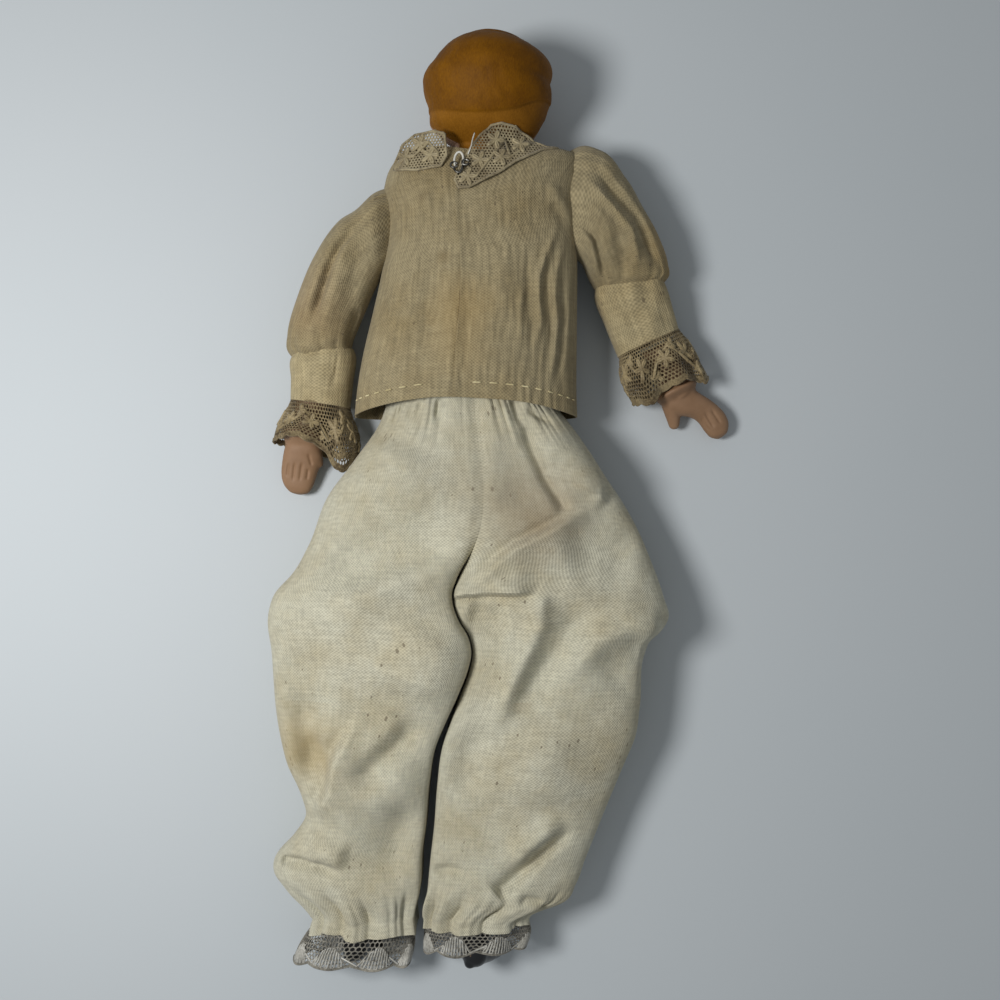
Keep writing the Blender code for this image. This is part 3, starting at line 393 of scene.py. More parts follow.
def head_shape(u, v):
    """The hollow of the plate, its outside up to the neck, and then the head, in one run of rows."""
    turn = math.tau * u
    turn = turn - 0.30 * np.cos(turn)
    c, s = np.cos(turn), np.sin(turn)
    inside, up = v < POCKET_ROWS, v > PLATE_ROWS
    into = np.clip(v / POCKET_ROWS, 0.0, 1.0)
    over = np.clip((v - POCKET_ROWS) / (PLATE_ROWS - POCKET_ROWS), 0.0, 1.0)
    y = np.where(inside, POCKET_END - (POCKET_END - PLATE_LOW) * into,
                 PLATE_LOW + (PLATE_TOP - PLATE_LOW) * over)
    half, depth = profiles(PLATE, y)
    wall = np.where(inside, PLATE_WALL, 0.0)
    close = np.where(inside, np.sqrt(np.clip(v / POCKET_ROWS / 0.35, 0.0, 1.0)), 1.0)
    px, py = posture((half - wall) * close * blunted(c, PLATE_BLUNT), y)
    pz = AXIS + (depth - wall) * close * blunted(s, PLATE_BLUNT)

    w = np.clip((v - PLATE_ROWS) / (1.0 - PLATE_ROWS), 0.0, 1.0)
    crown = 1.0 - (1.0 - (w - 0.7) / 0.3) ** 2.0
    t = HEAD_TALL * np.where(w < 0.7, w / 0.7 * 0.8, 0.8 + 0.2 * crown)
    front, back = profiles(HEAD_DEPTH, t)
    hx, hz = head_half(c > 0, t) * c, np.where(s > 0, back, front) * s
    face = sum(high * np.exp(-((np.abs(hx) - across) / wide) ** 2 - ((t - along) / tall) ** 2)
               for across, along, wide, tall, high in FACE_RELIEF)
    hair = hair_cover(hx, t, hz)
    out = np.where(s < 0, ease(0.25, 0.75, -s) * face, 0.0) + HAIR_HIGH * hair - 0.2
    out = out + (ROLL_LEFT + ROLL_MORE * ease(-6.0, 6.0, hx)) * nape_roll(hx, t, hz)
    out = out + HAIR_BRUSHED * ripple(hx * 1.3 + hz, t, 3.0, 31) * hair
    out = out * ease(0.0, 2.0, t) * ease(0.0, 1.5, HEAD_TALL - t)
    length = np.maximum(np.hypot(hx, hz), 1e-6)
    hx, hz = hx + out * hx / length, hz + out * hz / length
    wx, wy = NECK[0] + HEAD_COS * hx - HEAD_SIN * t, NECK[1] + HEAD_SIN * hx + HEAD_COS * t
    return np.where(up, wx, px), np.where(up, wy, py), np.maximum(np.where(up, head_middle(t) + hz, pz), 0.3)


def head_own(places):
    """Places on the head in its own millimetres, from the neck along its leaning axis."""
    x, y, z = (places - np.array([*NECK, HEAD_MIDDLE])).T
    return HEAD_COS * x + HEAD_SIN * y, HEAD_COS * y - HEAD_SIN * x, z


def bisque(name, light, dark):
    """Unglazed porcelain tinted flesh pink: smooth but dull, mottled with a darker tint in soft patches."""
    made, tree, shader, spot = surface(name, {"Roughness": 0.62, "IOR": 1.5})
    cloud = node(tree, "TexNoise", {"Vector": spot, "Scale": 160.0, "Detail": 4.0, "Roughness": 0.6})
    tint = node(tree, "MapRange", {"Value": cloud, "From Min": 0.35, "From Max": 0.7})
    skin = node(tree, "Mix", {"Factor": tint, "A": light, "B": dark}, data_type="RGBA")
    grain = node(tree, "TexNoise", {"Vector": spot, "Scale": 2600.0, "Detail": 2.0})
    bump = node(tree, "Bump", {"Height": grain, "Strength": 0.25, "Distance": 0.00004})
    feed(shader, {"Base Color": skin, "Normal": bump})
    return made, tree, shader, spot, skin, grain


def painted_head():
    """The same bisque under flat oil-brown hair paint, brushed on in fine scratchy strokes."""
    made, tree, shader, spot, skin, grain = bisque("bisque painted with hair and face", "#B2907A", "#A07D66")
    middle = (NECK[0] * MM, NECK[1] * MM, HEAD_MIDDLE * MM)
    own = node(tree, "Mapping", {"Vector": spot, "Location": middle, "Rotation": (0.0, 0.0, HEAD_LEAN),
                                 "Scale": (MM, MM, MM)}, vector_type="TEXTURE")
    split = node(tree, "SeparateXYZ", {"Vector": own})
    across = node(tree, "Math", {0: split.outputs["X"]}, operation="ABSOLUTE")
    folded = node(tree, "CombineXYZ", {"X": across, "Y": split.outputs["Y"]})
    front = node(tree, "MapRange", {"Value": split.outputs["Z"], "From Min": -4.0, "From Max": -5.0})
    face = skin
    for cx, cy, wide, tall, turn, soft, colour, strength in FACE_PAINT:
        at = node(tree, "Mapping", {"Vector": folded, "Location": (cx, cy, 0.0), "Rotation": (0.0, 0.0, turn),
                                    "Scale": (wide, tall, 1.0)}, vector_type="TEXTURE")
        off = node(tree, "VectorMath", {0: at}, operation="LENGTH")
        edge = node(tree, "MapRange", {"Value": off, "From Min": 1.0 + soft / 2, "From Max": 1.0 - soft,
                                       "To Max": strength})
        kept = node(tree, "Math", {0: edge, 1: front}, operation="MULTIPLY")
        face = node(tree, "Mix", {"Factor": kept, "A": face, "B": colour}, data_type="RGBA")
    drawn = node(tree, "Mapping", {"Vector": own, "Rotation": (0.0, 0.0, 0.5), "Scale": (4.4, 1.3, 2.2)})
    brush = node(tree, "TexNoise", {"Vector": drawn, "Scale": 1.0, "Detail": 5.0, "Roughness": 0.7})
    blotch = node(tree, "TexNoise", {"Vector": own, "Scale": 0.22, "Detail": 3.0})
    tone = node(tree, "Math", {0: brush, 1: 1.3, 2: blotch}, operation="MULTIPLY_ADD")
    shade = node(tree, "MapRange", {"Value": tone, "From Min": 0.80, "From Max": 1.50})
    hair = node(tree, "Mix", {"Factor": shade, "A": "#5F3903", "B": "#7F5103"}, data_type="RGBA")
    bare = node(tree, "Mix", {"Factor": shade, "A": "#72480B", "B": "#926119"}, data_type="RGBA")
    nape = node(tree, "Attribute", attribute_name="nape").outputs["Fac"]
    warm = node(tree, "Mix", {"Factor": nape, "A": bare, "B": hair}, data_type="RGBA")
    pit = node(tree, "TexNoise", {"Vector": own, "Scale": 2.6, "Detail": 3.0, "Roughness": 0.75})
    pits = node(tree, "MapRange", {"Value": pit, "From Min": 0.66, "From Max": 0.76, "To Max": 0.7})
    pitted = node(tree, "Mix", {"Factor": pits, "A": warm, "B": "#33200A"}, data_type="RGBA")
    # The hair's cover also runs down the back of the shoulder plate, as painted shade beside the collar.
    cover = node(tree, "Attribute", attribute_name="hair").outputs["Fac"]
    painted = node(tree, "Mix", {"Factor": cover, "A": face, "B": pitted}, data_type="RGBA")
    rough = node(tree, "Mix", {"Factor": cover, "A": grain, "B": tone}, data_type="FLOAT")
    bump = node(tree, "Bump", {"Height": rough, "Strength": 0.5, "Distance": 0.0001})
    feed(shader, {"Base Color": painted, "Normal": bump, "Specular IOR Level": 0.12})
    return made


head = lay("head", 240, 320, head_shape)
own_places = head_own(spots(head))
# The hair paint is carried on down the back of the shoulder plate to 26.5 mm, as painted shade in the hollow
# of the neck between the collar and the nape.
above = ease(26.5, 28.5, spots(head)[:, 1])
for name, cover in (("hair", hair_cover(*own_places) * above), ("nape", nape_roll(*own_places))):
    head.data.attributes.new(name, "FLOAT", "POINT").data.foreach_set("value", cover)
dress(head, painted_head(), "bisque", "shoulder_head")
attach(head, "torso")

# The arms: a stuffed muslin upper arm hanging in the armhole, and a bisque forearm with a mitten hand,
# cast solid.  The muslin is pulled over the rim of the bisque and tied into its groove with thread.
ARMS = {
    "left": {
        "sign": -1.0, "shoulder": (-20.6, 17.4, 11.1), "elbow": (-31.091, -8.567, 7.8),
        "upper": (-0.372, -0.921, -0.117), "fore": (-0.2557, -0.9542, -0.1556), "turn": (5.0, 15.4),
        "bend": (-9.0, -1.0),
        "hand": [(0.00, -36.0, -24.5, -36.0, -24.5, 5.0, 0.0), (0.03, -38.2, -24.6, -33.8, -25.2, 5.0, 2.3),
                 (0.25, -40.1, -29.2, -32.4, -29.6, 4.3, 2.6), (0.45, -40.9, -32.6, -32.0, -32.4, 3.7, 2.3),
                 (0.60, -41.2, -35.0, -33.1, -35.0, 3.2, 2.1), (0.75, -41.0, -37.0, -33.8, -37.0, 2.8, 1.9),
                 (0.88, -40.1, -38.7, -34.7, -38.9, 2.5, 1.6), (0.96, -38.8, -39.7, -35.7, -39.8, 2.3, 1.1),
                 (1.00, -37.2, -40.1, -37.2, -40.1, 2.2, 0.0)],
        "thumb": [(-33.6, -29.5, 4.4), (-33.0, -33.0, 3.5), 1.5, 1.2],
        "grooves": [[(-39.2, -32.8), (-39.8, -36.4)], [(-37.7, -32.6), (-38.5, -37.4)],
                    [(-36.1, -32.6), (-37.0, -37.4)], [(-34.9, -34.1), (-35.4, -37.0)],
                    [(-34.8, -30.8), (-34.1, -33.9)]],
    },
    "right": {
        "sign": 1.0, "shoulder": (27.4, 24.6, 11.1), "elbow": (37.891, -1.367, 7.8),
        "upper": (0.372, -0.921, -0.117), "fore": (0.4789, -0.8640, -0.1556), "turn": (6.4, 12.6),
        "bend": (-14.6, -6.6),
        "hand": [(0.00, 46.0, -15.6, 46.0, -15.6, 5.0, 0.0), (0.03, 48.2, -14.9, 43.9, -17.0, 5.0, 2.3),
                 (0.22, 50.6, -17.1, 43.2, -20.6, 4.5, 2.6), (0.40, 53.4, -18.8, 46.6, -22.4, 4.0, 2.4),
                 (0.55, 55.6, -20.4, 49.4, -22.9, 3.5, 2.2), (0.70, 57.4, -22.4, 51.3, -24.0, 3.1, 2.0),
                 (0.84, 58.1, -24.8, 53.0, -26.2, 2.7, 1.8), (0.94, 57.4, -26.7, 54.4, -27.4, 2.4, 1.3),
                 (1.00, 55.9, -27.7, 55.9, -27.7, 2.2, 0.0)],
        "thumb": [(45.4, -20.4, 3.8), (46.0, -24.3, 2.5), 2.3, 1.25],
        "grooves": [[(52.2, -21.6), (54.8, -25.6)], [(53.6, -21.0), (56.2, -24.6)],
                    [(51.4, -22.6), (53.8, -26.2)]],
    },
}
ARM_BAG = [(-3.9, 0.0), (-3.8, 0.9), (-3.4, 1.9), (-2.4, 3.0), (-1.2, 3.6), (0.0, 3.85), (4.0, 4.0),
           (9.0, 4.1), (13.0, 4.0), (14.0, 3.0), (14.3, 0.0)]       # along, radius
ARM_END = [(-14.6, 0.0), (-14.4, 3.0), (-13.4, 4.0), (-9.0, 4.1), (-4.0, 3.9), (0.0, 3.9), (3.4, 4.0),
           (4.6, 4.0), (5.2, 3.4), (6.2, 3.4), (6.8, 4.0), (7.0, 3.4), (7.0, 0.0)]
FINGER_HALF, FINGER_DEEP = 0.30, -0.30  # the grooves between the fingers
FOREARM = [(3.4, 0.0), (3.4, 2.6), (3.8, 3.0), (4.4, 3.0), (5.0, 2.3), (6.4, 2.3), (7.4, 3.4), (10.0, 3.55),
           (14.0, 3.3), (17.5, 2.8), (19.5, 2.75), (20.6, 1.5), (20.8, 0.0)]


def turned(start, ahead, stations):
    """Round limb along a direction; stations give the distance and the radius."""
    start, ahead = np.array(start, float), np.array(ahead, float)
    side = np.cross(ahead, (0.0, 0.0, 1.0))
    side /= np.linalg.norm(side)
    up = np.cross(side, ahead)

    def place(u, v):
        along, radius = spaced(stations, v)
        turn = math.tau * u
        return [start[k] + ahead[k] * along + radius * (side[k] * np.cos(turn) + up[k] * np.sin(turn))
                for k in range(3)]

    return place


def tube(stations, power):
    """Flattened tube; stations give how far along, its two edges, its middle height and half height."""

    def place(u, v):
        ox, oy, ix, iy, middle, half = profiles(stations, v)
        c, s = blunted(np.cos(math.tau * u), 2 / power), blunted(np.sin(math.tau * u), 2 / power)
        return (ox + ix) / 2 + (ox - ix) / 2 * c, (oy + iy) / 2 + (oy - iy) / 2 * c, middle + half * s, s

    return place


def beside(x, y, path):
    """Each spot's distance from a path, its hand (1 for right), and its share of the way along."""
    best = np.full(x.shape, 1e9)
    reach, hand, done = np.zeros_like(x), np.zeros_like(x), 0.0
    for (ax, ay), (bx, by) in zip(path, path[1:]):
        dx, dy = bx - ax, by - ay
        length = math.hypot(dx, dy)
        t = np.clip(((x - ax) * dx + (y - ay) * dy) / length**2, 0.0, 1.0)
        off = np.hypot(x - ax - t * dx, y - ay - t * dy)
        near = off < best
        best = np.where(near, off, best)
        reach = np.where(near, done + t * length, reach)
        hand = np.where(near, np.sign((x - ax) * dy - (y - ay) * dx), hand)
        done += length
    return best, hand, reach / done


def fading(share, ends):
    """Strength of a fold along its path: it rises and falls over these shares at its ends."""
    return ((ease(0.0, ends[0], share) if ends[0] else 1.0)
            * (ease(0.0, ends[1], 1.0 - share) if ends[1] else 1.0))


def stroke(x, y, path, half, height, ends=(0.3, 0.3), lean=0.0):
    """Rounded fold along a path; lean widens its right side."""
    off, hand, share = beside(x, y, path)
    return height * np.exp(-(off / (half * (1.0 + lean * hand))) ** 2) * fading(share, ends)


def pick(*pieces):
    """Select only these pieces, with the first one active."""
    bpy.ops.object.select_all(action="DESELECT")
    for piece in pieces:
        piece.select_set(True)
    bpy.context.view_layer.objects.active = pieces[0]


def joined(name, pieces):
    """Make several meshes one, under this name."""
    pick(*pieces)
    bpy.ops.object.join()
    pieces[0].name = pieces[0].data.name = name
    return pieces[0]


def apply(piece, kind, **settings):
    """Add one modifier and apply it."""
    pick(piece)
    change = piece.modifiers.new(kind.lower(), kind)
    for key, value in settings.items():
        setattr(change, key, value)
    bpy.ops.object.modifier_apply(modifier=change.name)
    bpy.ops.object.shade_smooth_by_angle(angle=math.radians(60.0))


def melted(name, pieces, voxel, rounds):
    """Join rough pieces into one skin and smooth away the joins."""
    whole = joined(name, pieces)
    apply(whole, "REMESH", mode="VOXEL", voxel_size=voxel * MM, use_smooth_shade=True)
    apply(whole, "SMOOTH", factor=0.5, iterations=rounds)
    bpy.ops.object.shade_smooth()
    return whole


def capsule(name, start, end, first, last):
    """Rounded stick between two points."""
    start, end = np.array(start), np.array(end)
    length = np.linalg.norm(end - start)
    bend = [k / 6 * math.pi / 2 for k in range(7)]
    stations = [(-first * math.cos(b), first * math.sin(b)) for b in bend]
    stations += [(length + last * math.sin(b), last * math.cos(b)) for b in bend]
    return lay(name, 20, 26, turned(start, (end - start) / length, stations))


for side, arm in ARMS.items():
    shoulder, elbow = np.array(arm["shoulder"]), np.array(arm["elbow"])
    upper, fore = np.array(arm["upper"]), np.array(arm["fore"])
    casing = "upper_arm_casing_" + side
    arm_bag = lay("stuffed_arm_" + side, 40, 60, turned(shoulder, upper, ARM_BAG))
    dress(arm_bag, bag_muslin("muslin of the arm " + side, 25.0, 30.0), "muslin", casing,
          "upper_arm_stuffing_" + side)
    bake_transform(arm_bag)

    arm_end = lay("arm_end_" + side, 40, 72, turned(elbow, fore, ARM_END))
    places = spots(arm_end)
    along = ((places - elbow) @ fore)[:, None]
    put(arm_end, places + (upper - fore) * along * (1.0 - ease(-2.0, 2.0, along)))
    dress(arm_end, bag_muslin("muslin of the arm end " + side, 25.0, 20.0), "muslin", casing)
    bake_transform(arm_end)

    blanks = [lay("forearm_blank", 32, 96, turned(elbow, fore, FOREARM)),
              lay("hand_blank", 40, 60, tube(arm["hand"], power=2.3)), capsule("thumb_blank", *arm["thumb"])]
    bisque_arm = melted("bisque_arm_" + side, blanks, voxel=0.20, rounds=12)
    x, y, z = spots(bisque_arm).T
    cut = sum(stroke(x, y, groove, FINGER_HALF, FINGER_DEEP) for groove in arm["grooves"])
    put(bisque_arm, np.stack([x, y, z + cut * ease(2.2, 3.0, z)], 1))
    finish = bisque("bisque of the arm " + side, "#947356", "#836346")[0]
    dress(bisque_arm, finish, "bisque", "forearm_" + side)
    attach(bisque_arm, "forearm_" + side)

# The legs: stuffed muslin to the knee, then a bisque calf and foot in one, tied on in the same way,
# with a painted black ankle boot that has a low heel.
LEGS = {
    "left": {"sign": -1.0, "hip": (-7.36, -48.8, 10.7), "knee": (-15.121, -91.087, 9.921),
             "ahead": (-0.1805, -0.9834, -0.0181)},
    "right": {"sign": 1.0, "hip": (9.76, -48.8, 10.7), "knee": (6.162, -91.642, 9.921),
              "ahead": (-0.0837, -0.9963, -0.0181)},
}
LEG_BAG = [(-6.2, 0.0), (-6.0, 1.6), (-5.2, 3.2), (-3.6, 4.9), (-1.8, 5.8), (0.0, 6.1), (10.0, 6.35),
           (20.0, 6.4), (27.0, 6.3), (28.4, 5.0), (28.8, 0.0)]
LEG_END = [(-14.6, 0.0), (-14.2, 5.0), (-13.0, 6.2), (-8.0, 6.2), (-3.5, 5.4), (0.0, 4.8), (3.4, 4.6),
           (4.6, 4.6), (5.3, 4.0), (6.2, 4.0), (6.9, 4.6), (7.2, 4.0), (7.2, 0.0)]
CALF = [(3.4, 0.0), (3.4, 3.2), (3.8, 3.6), (4.4, 3.6), (5.0, 2.9), (6.4, 2.9), (7.8, 4.1), (15.1, 4.6),
        (24.1, 4.25), (33.0, 3.35), (40.8, 3.1), (42.0, 3.1), (42.0, 0.0)]
BOOT_TOP, SOLE = 34.0, 50.8     # below the knee, along the leg
BOOT = [(-9.8, 0.0, 3.3, -2.9, -0.4, 3.0), (-3.0, 0.0, 2.9, -2.3, 3.8, 2.3), (-2.3, 3.0, 2.3, -1.9, 6.0, 1.8),
        (-2.6, -1.4, 2.0, -1.1, -1.8, 1.3)]     # above the sole, towards the toe and radius, at both ends
TOE_TURN = math.radians(42.0)


def boot_paint(name, top, ahead):
    """Bisque above a coat of glossy black enamel, rubbed through to the clay in small chips."""
    made, tree, shader, spot, skin, _ = bisque(name, "#A78870", "#94755C")
    reach = node(tree, "VectorMath", {0: spot, 1: tuple(ahead)}, operation="DOT_PRODUCT")
    chip = node(tree, "TexNoise", {"Vector": spot, "Scale": 420.0, "Detail": 3.0})
    wobble = node(tree, "Math", {0: chip, 1: 0.0008, 2: reach}, operation="MULTIPLY_ADD")
    line = float(np.dot(top, ahead)) * MM
    boot = node(tree, "MapRange", {"Value": wobble, "From Min": line, "From Max": line + 0.0003})
    worn = node(tree, "MapRange", {"Value": chip, "From Min": 0.70, "From Max": 0.73})
    enamel = node(tree, "Mix", {"Factor": worn, "A": "#17181A", "B": "#6E5A48"}, data_type="RGBA")
    painted = node(tree, "Mix", {"Factor": boot, "A": skin, "B": enamel}, data_type="RGBA")
    gloss = node(tree, "MapRange", {"Value": boot, "To Min": 0.62, "To Max": 0.28})
    feed(shader, {"Base Color": painted, "Roughness": gloss})
    return made


for side, leg in LEGS.items():
    hip, knee, ahead = np.array(leg["hip"]), np.array(leg["knee"]), np.array(leg["ahead"])
    casing = "upper_leg_casing_" + side
    leg_bag = lay("stuffed_leg_" + side, 48, 70, turned(hip, ahead, LEG_BAG))
    dress(leg_bag, bag_muslin("muslin of the leg " + side, 38.0, 45.0), "muslin", casing,
          "upper_leg_stuffing_" + side)
    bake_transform(leg_bag)

    leg_end = lay("leg_end_" + side, 48, 72, turned(knee, ahead, LEG_END))
    dress(leg_end, bag_muslin("muslin of the leg end " + side, 38.0, 22.0), "muslin", casing)
    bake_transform(leg_end)

    sole = knee + ahead * SOLE
    toe = np.array([math.sin(TOE_TURN), 0.0, -math.cos(TOE_TURN)])
    toe -= ahead * (toe @ ahead)
    toe /= np.linalg.norm(toe)
    blanks = [lay("calf", 32, 110, turned(knee, ahead, CALF))]
    for rise_a, out_a, size_a, rise_b, out_b, size_b in BOOT:
        start, stop = sole + ahead * rise_a + toe * out_a, sole + ahead * rise_b + toe * out_b
        blanks.append(capsule("boot", start, stop, size_a, size_b))
    bisque_leg = melted("bisque_leg_" + side, blanks, voxel=0.24, rounds=10)
    finish = boot_paint("bisque and boot enamel " + side, knee + ahead * BOOT_TOP, ahead)
    dress(bisque_leg, finish, "bisque", "lower_leg_" + side)
    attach(bisque_leg, "lower_leg_" + side)

# The blouse: a front and two back panels of crinkled cotton gauze, open down the back, with pin
# tucks that have shrunk into ripples on the right half and a narrow hem turned up at the bottom.
GAUZE_WALL = 0.30
GAUZE_THREAD = 0.66     # thread spacing, drawn coarser than the likely 0.45 so that it shows
NECK_LINE = 34.2
HEM_LINE = -23.4
HEM_RISE = 3.4
HEM_FOLD = 0.055        # share of the back's length where the hem is stitched
HEM_GROOVE = 0.18
NECK_DIP = 2.0          # how much lower the neck edge is at the middle
CRINKLE, TUCK = 1.9, 2.9    # spacing of the crinkles on the back and of the tucks in front
ARMHOLE_LEFT, ARMHOLE_RIGHT = 0.02, 0.06    # how deep the armholes are cut, as a share of the half width
OVERLAP = 0.4           # how far each back half goes past the middle of the opening
EDGE_OVER, EDGE_UNDER = 0.35, -0.25     # the right half's edge lies over the left one's
BLOUSE_HALF = [(-28.0, 24.2), (-23.2, 23.9), (-10.0, 23.0), (1.0, 21.9), (13.0, 20.8), (21.0, 20.6),
               (26.0, 21.2), (29.0, 20.9), (31.0, 20.0), (32.4, 18.4), (33.4, 16.2), (34.0, 13.2),
               (34.3, 10.4)]
BLOUSE_DEPTH = [(-28.0, 11.5), (13.0, 11.5), (21.0, 11.1), (26.0, 10.5), (30.0, 9.4), (34.3, 7.4)]
BLOUSE_POWER = 2.4
OPENING = [(-26.0, -1.6), (-12.0, -2.2), (0.0, -2.4), (8.0, -3.2), (20.0, -4.8), (32.0, -5.2)]
BACK_FOLDS = [          # path on the table, half width, height
    ([(20.6, 19.0), (17.4, 11.0), (15.4, 5.0), (15.2, 0.0), (15.8, -5.0), (15.0, -12.0)], 0.7, 0.975),
    ([(18.9, 13.0), (17.0, 5.0), (17.2, -1.0), (17.6, -7.0), (16.4, -17.0)], 0.8, -0.825),
    ([(21.6, 14.0), (19.0, 6.0), (18.8, 0.0), (19.5, -5.0), (18.6, -13.0), (17.6, -21.0)], 0.7, 1.125),
    ([(21.4, 8.3), (20.4, 3.0), (20.8, -4.0), (20.0, -12.0), (19.2, -21.0)], 0.8, -0.975),
    ([(24.0, 12.0), (22.0, 5.0), (22.0, -2.0), (21.4, -9.0), (20.7, -15.0), (21.2, -21.0)], 0.8, 1.05),
    ([(13.6, 12.0), (13.0, 2.5), (13.5, -6.0), (12.7, -16.0)], 1.0, -0.525),
    ([(11.8, 6.0), (11.4, -4.0), (12.0, -14.0)], 1.1, 0.45),
    ([(8.3, 14.0), (7.9, 2.5), (8.5, -10.0)], 2.0, 0.375),
    ([(-15.5, 21.0), (-15.9, 14.0), (-16.8, 9.0), (-18.4, 5.2), (-20.6, 0.0)], 1.0, -1.65),
    ([(-13.6, 20.0), (-14.0, 13.5), (-15.0, 8.0), (-17.0, 2.0)], 1.8, 0.75),
    ([(-10.4, 17.0), (-11.4, 4.6), (-12.7, -10.0)], 3.2, 0.525),
    ([(-6.8, 15.0), (-7.3, 0.4), (-7.7, -14.2)], 2.4, -0.45),
    ([(-2.7, 3.0), (-2.7, -8.0), (-3.1, -17.3)], 1.8, 0.45),
    ([(-16.6, -1.7), (-17.2, -10.0), (-18.5, -20.0)], 2.2, -0.6),
    ([(23.4, 16.0), (21.8, 19.6), (19.2, 22.6), (17.4, 26.0)], 1.3, 1.2),
    ([(21.4, 15.0), (19.8, 18.4), (17.6, 21.0)], 1.2, -0.825),
]
BLOUSE_DIRT = [((-0.8, -1.0, 22.0), 6.0, 0.45, "#A5854A"), ((-1.2, -9.0, 22.0), 6.0, 0.30, "#A5854A"),
               ((-9.0, 22.0, 22.0), 1.6, 0.60, "#5C4A30"), ((14.0, -12.0, 22.0), 10.0, 0.30, "#6F6650"),
               ((-4.4, 9.0, 22.0), 1.5, 0.45, "#6E5A38"), ((8.0, 2.4, 22.0), 1.4, 0.45, "#5E5341")]


def lies_over(x, y, back):
    """Height of the blouse over the table, at a spot across the straight body."""
    share = np.clip(np.abs(x) / profile(BLOUSE_HALF, y), 0.0, 1.0)
    return AXIS + back * profile(BLOUSE_DEPTH, y) * (1.0 - share**BLOUSE_POWER) ** (1.0 / BLOUSE_POWER)


def crinkle(x, y):
    """The faint crinkle of the gauze, stronger where it has shrunk low on the right."""
    fine = np.sin(math.tau * (x + 0.3 * np.sin(y * 0.55 + x) + 0.3 * np.sin(y * 0.21)) / CRINKLE)
    shrunk = ease(4.0, 14.0, x) * (1.0 - ease(2.0, 16.0, y))
    return (0.06 + 0.12 * shrunk) * fine * (0.7 + 0.5 * ripple(x, y, 9.0, 22)) + 0.20 * ripple(x, y, 13.0, 21)


def panel(low, high, back):
    """Panel between two edges, given across the straight body; back is 1 for the back, -1 for the front."""

    def place(u, v):
        y = HEM_LINE + (NECK_LINE - HEM_LINE) * v
        a, b = low(y), high(y)
        half = profile(BLOUSE_HALF, y)
        start, end = np.arcsin(np.clip(a / half, -1.0, 1.0)), np.arcsin(np.clip(b / half, -1.0, 1.0))
        x = half * np.sin(start + (end - start) * u)
        z = lies_over(x, y, back)
        share = np.clip(np.abs(x) / half, 0.0, 1.0)
        if back > 0:
            crown = (1.0 - share**4) * (1.0 - 0.7 * ease(26.0, 31.0, y))
            z = z + crown * (crinkle(x, y) + sum(stroke(*posture(x, y), *fold) for fold in BACK_FOLDS))
            right = np.mean(b) > 0.0
            edge = u if right else 1.0 - u
            z = z + crown * (EDGE_OVER if right else EDGE_UNDER) * (1.0 - ease(0.0, 0.05, edge))
            y = y + HEM_RISE * (1.0 - share**2) * (1.0 - ease(-23.0, 13.0, y))
            y = y + 0.5 * ripple(x, y * 0.1, 17.0, 23) * (1.0 - ease(-23.0, -14.0, y))
            z = z - HEM_GROOVE * np.exp(-((v - HEM_FOLD) / 0.009) ** 2) * crown
        else:
            z = z - 0.25 * np.sin(math.tau * x / TUCK) * (1.0 - share**4) * (1.0 - ease(5.0, 20.0, y))
        y = y - NECK_DIP * np.exp(-(x / 8.0) ** 2) * ease(0.55, 1.0, v)
        x, y = posture(x, y)
        return x, y, np.maximum(z, 0.15)

    return place


def armhole(y, deep):
    """Distance from the middle that a panel keeps beside the armhole."""
    return profile(BLOUSE_HALF, y) * (1.0 - deep * ease(10.5, 16.0, y) * (1.0 - ease(22.5, 28.0, y)))


def gauze(name, width, length, dirt_and_shade, light="#988B6C", dark="#8A7A58"):
    """Crinkled cotton gauze gone ecru with age: dull, open-woven, streaked along its ribs."""
    return woven(name, (width, length), GAUZE_THREAD, light, dark, 1.55, 1.0, dirt_and_shade)


def thicken(piece, wall, offset=-1.0):
    """Give a sheet its thickness, on the inside unless offset says otherwise."""
    apply(piece, "SOLIDIFY", thickness=wall * MM, offset=offset, use_even_offset=False)


PANELS = {              # its two edges, its side, columns and rows, the node it stands for, flat size
    "blouse_front": (lambda y: -armhole(y, ARMHOLE_LEFT), lambda y: armhole(y, ARMHOLE_RIGHT),
                     -1.0, 120, 60, "bodice_front", (0.052, 0.056)),
    "blouse_back_left": (lambda y: -armhole(y, ARMHOLE_LEFT), lambda y: profile(OPENING, y) + OVERLAP,
                         1.0, 100, 150, "bodice_back_left", (0.026, 0.056)),
    "blouse_back_right": (lambda y: profile(OPENING, y) - OVERLAP, lambda y: armhole(y, ARMHOLE_RIGHT),
                          1.0, 130, 150, "bodice_back_right", (0.030, 0.056)),
}
for name, (low, high, back, columns, rows, stands_for, flat) in PANELS.items():
    piece = lay(name, columns, rows, panel(low, high, back), closed=False)
    thicken(piece, GAUZE_WALL)
    dress(piece, gauze("gauze " + name, flat[0] / MM, flat[1] / MM, BLOUSE_DIRT), "gauze", stands_for)
    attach(piece, "torso")
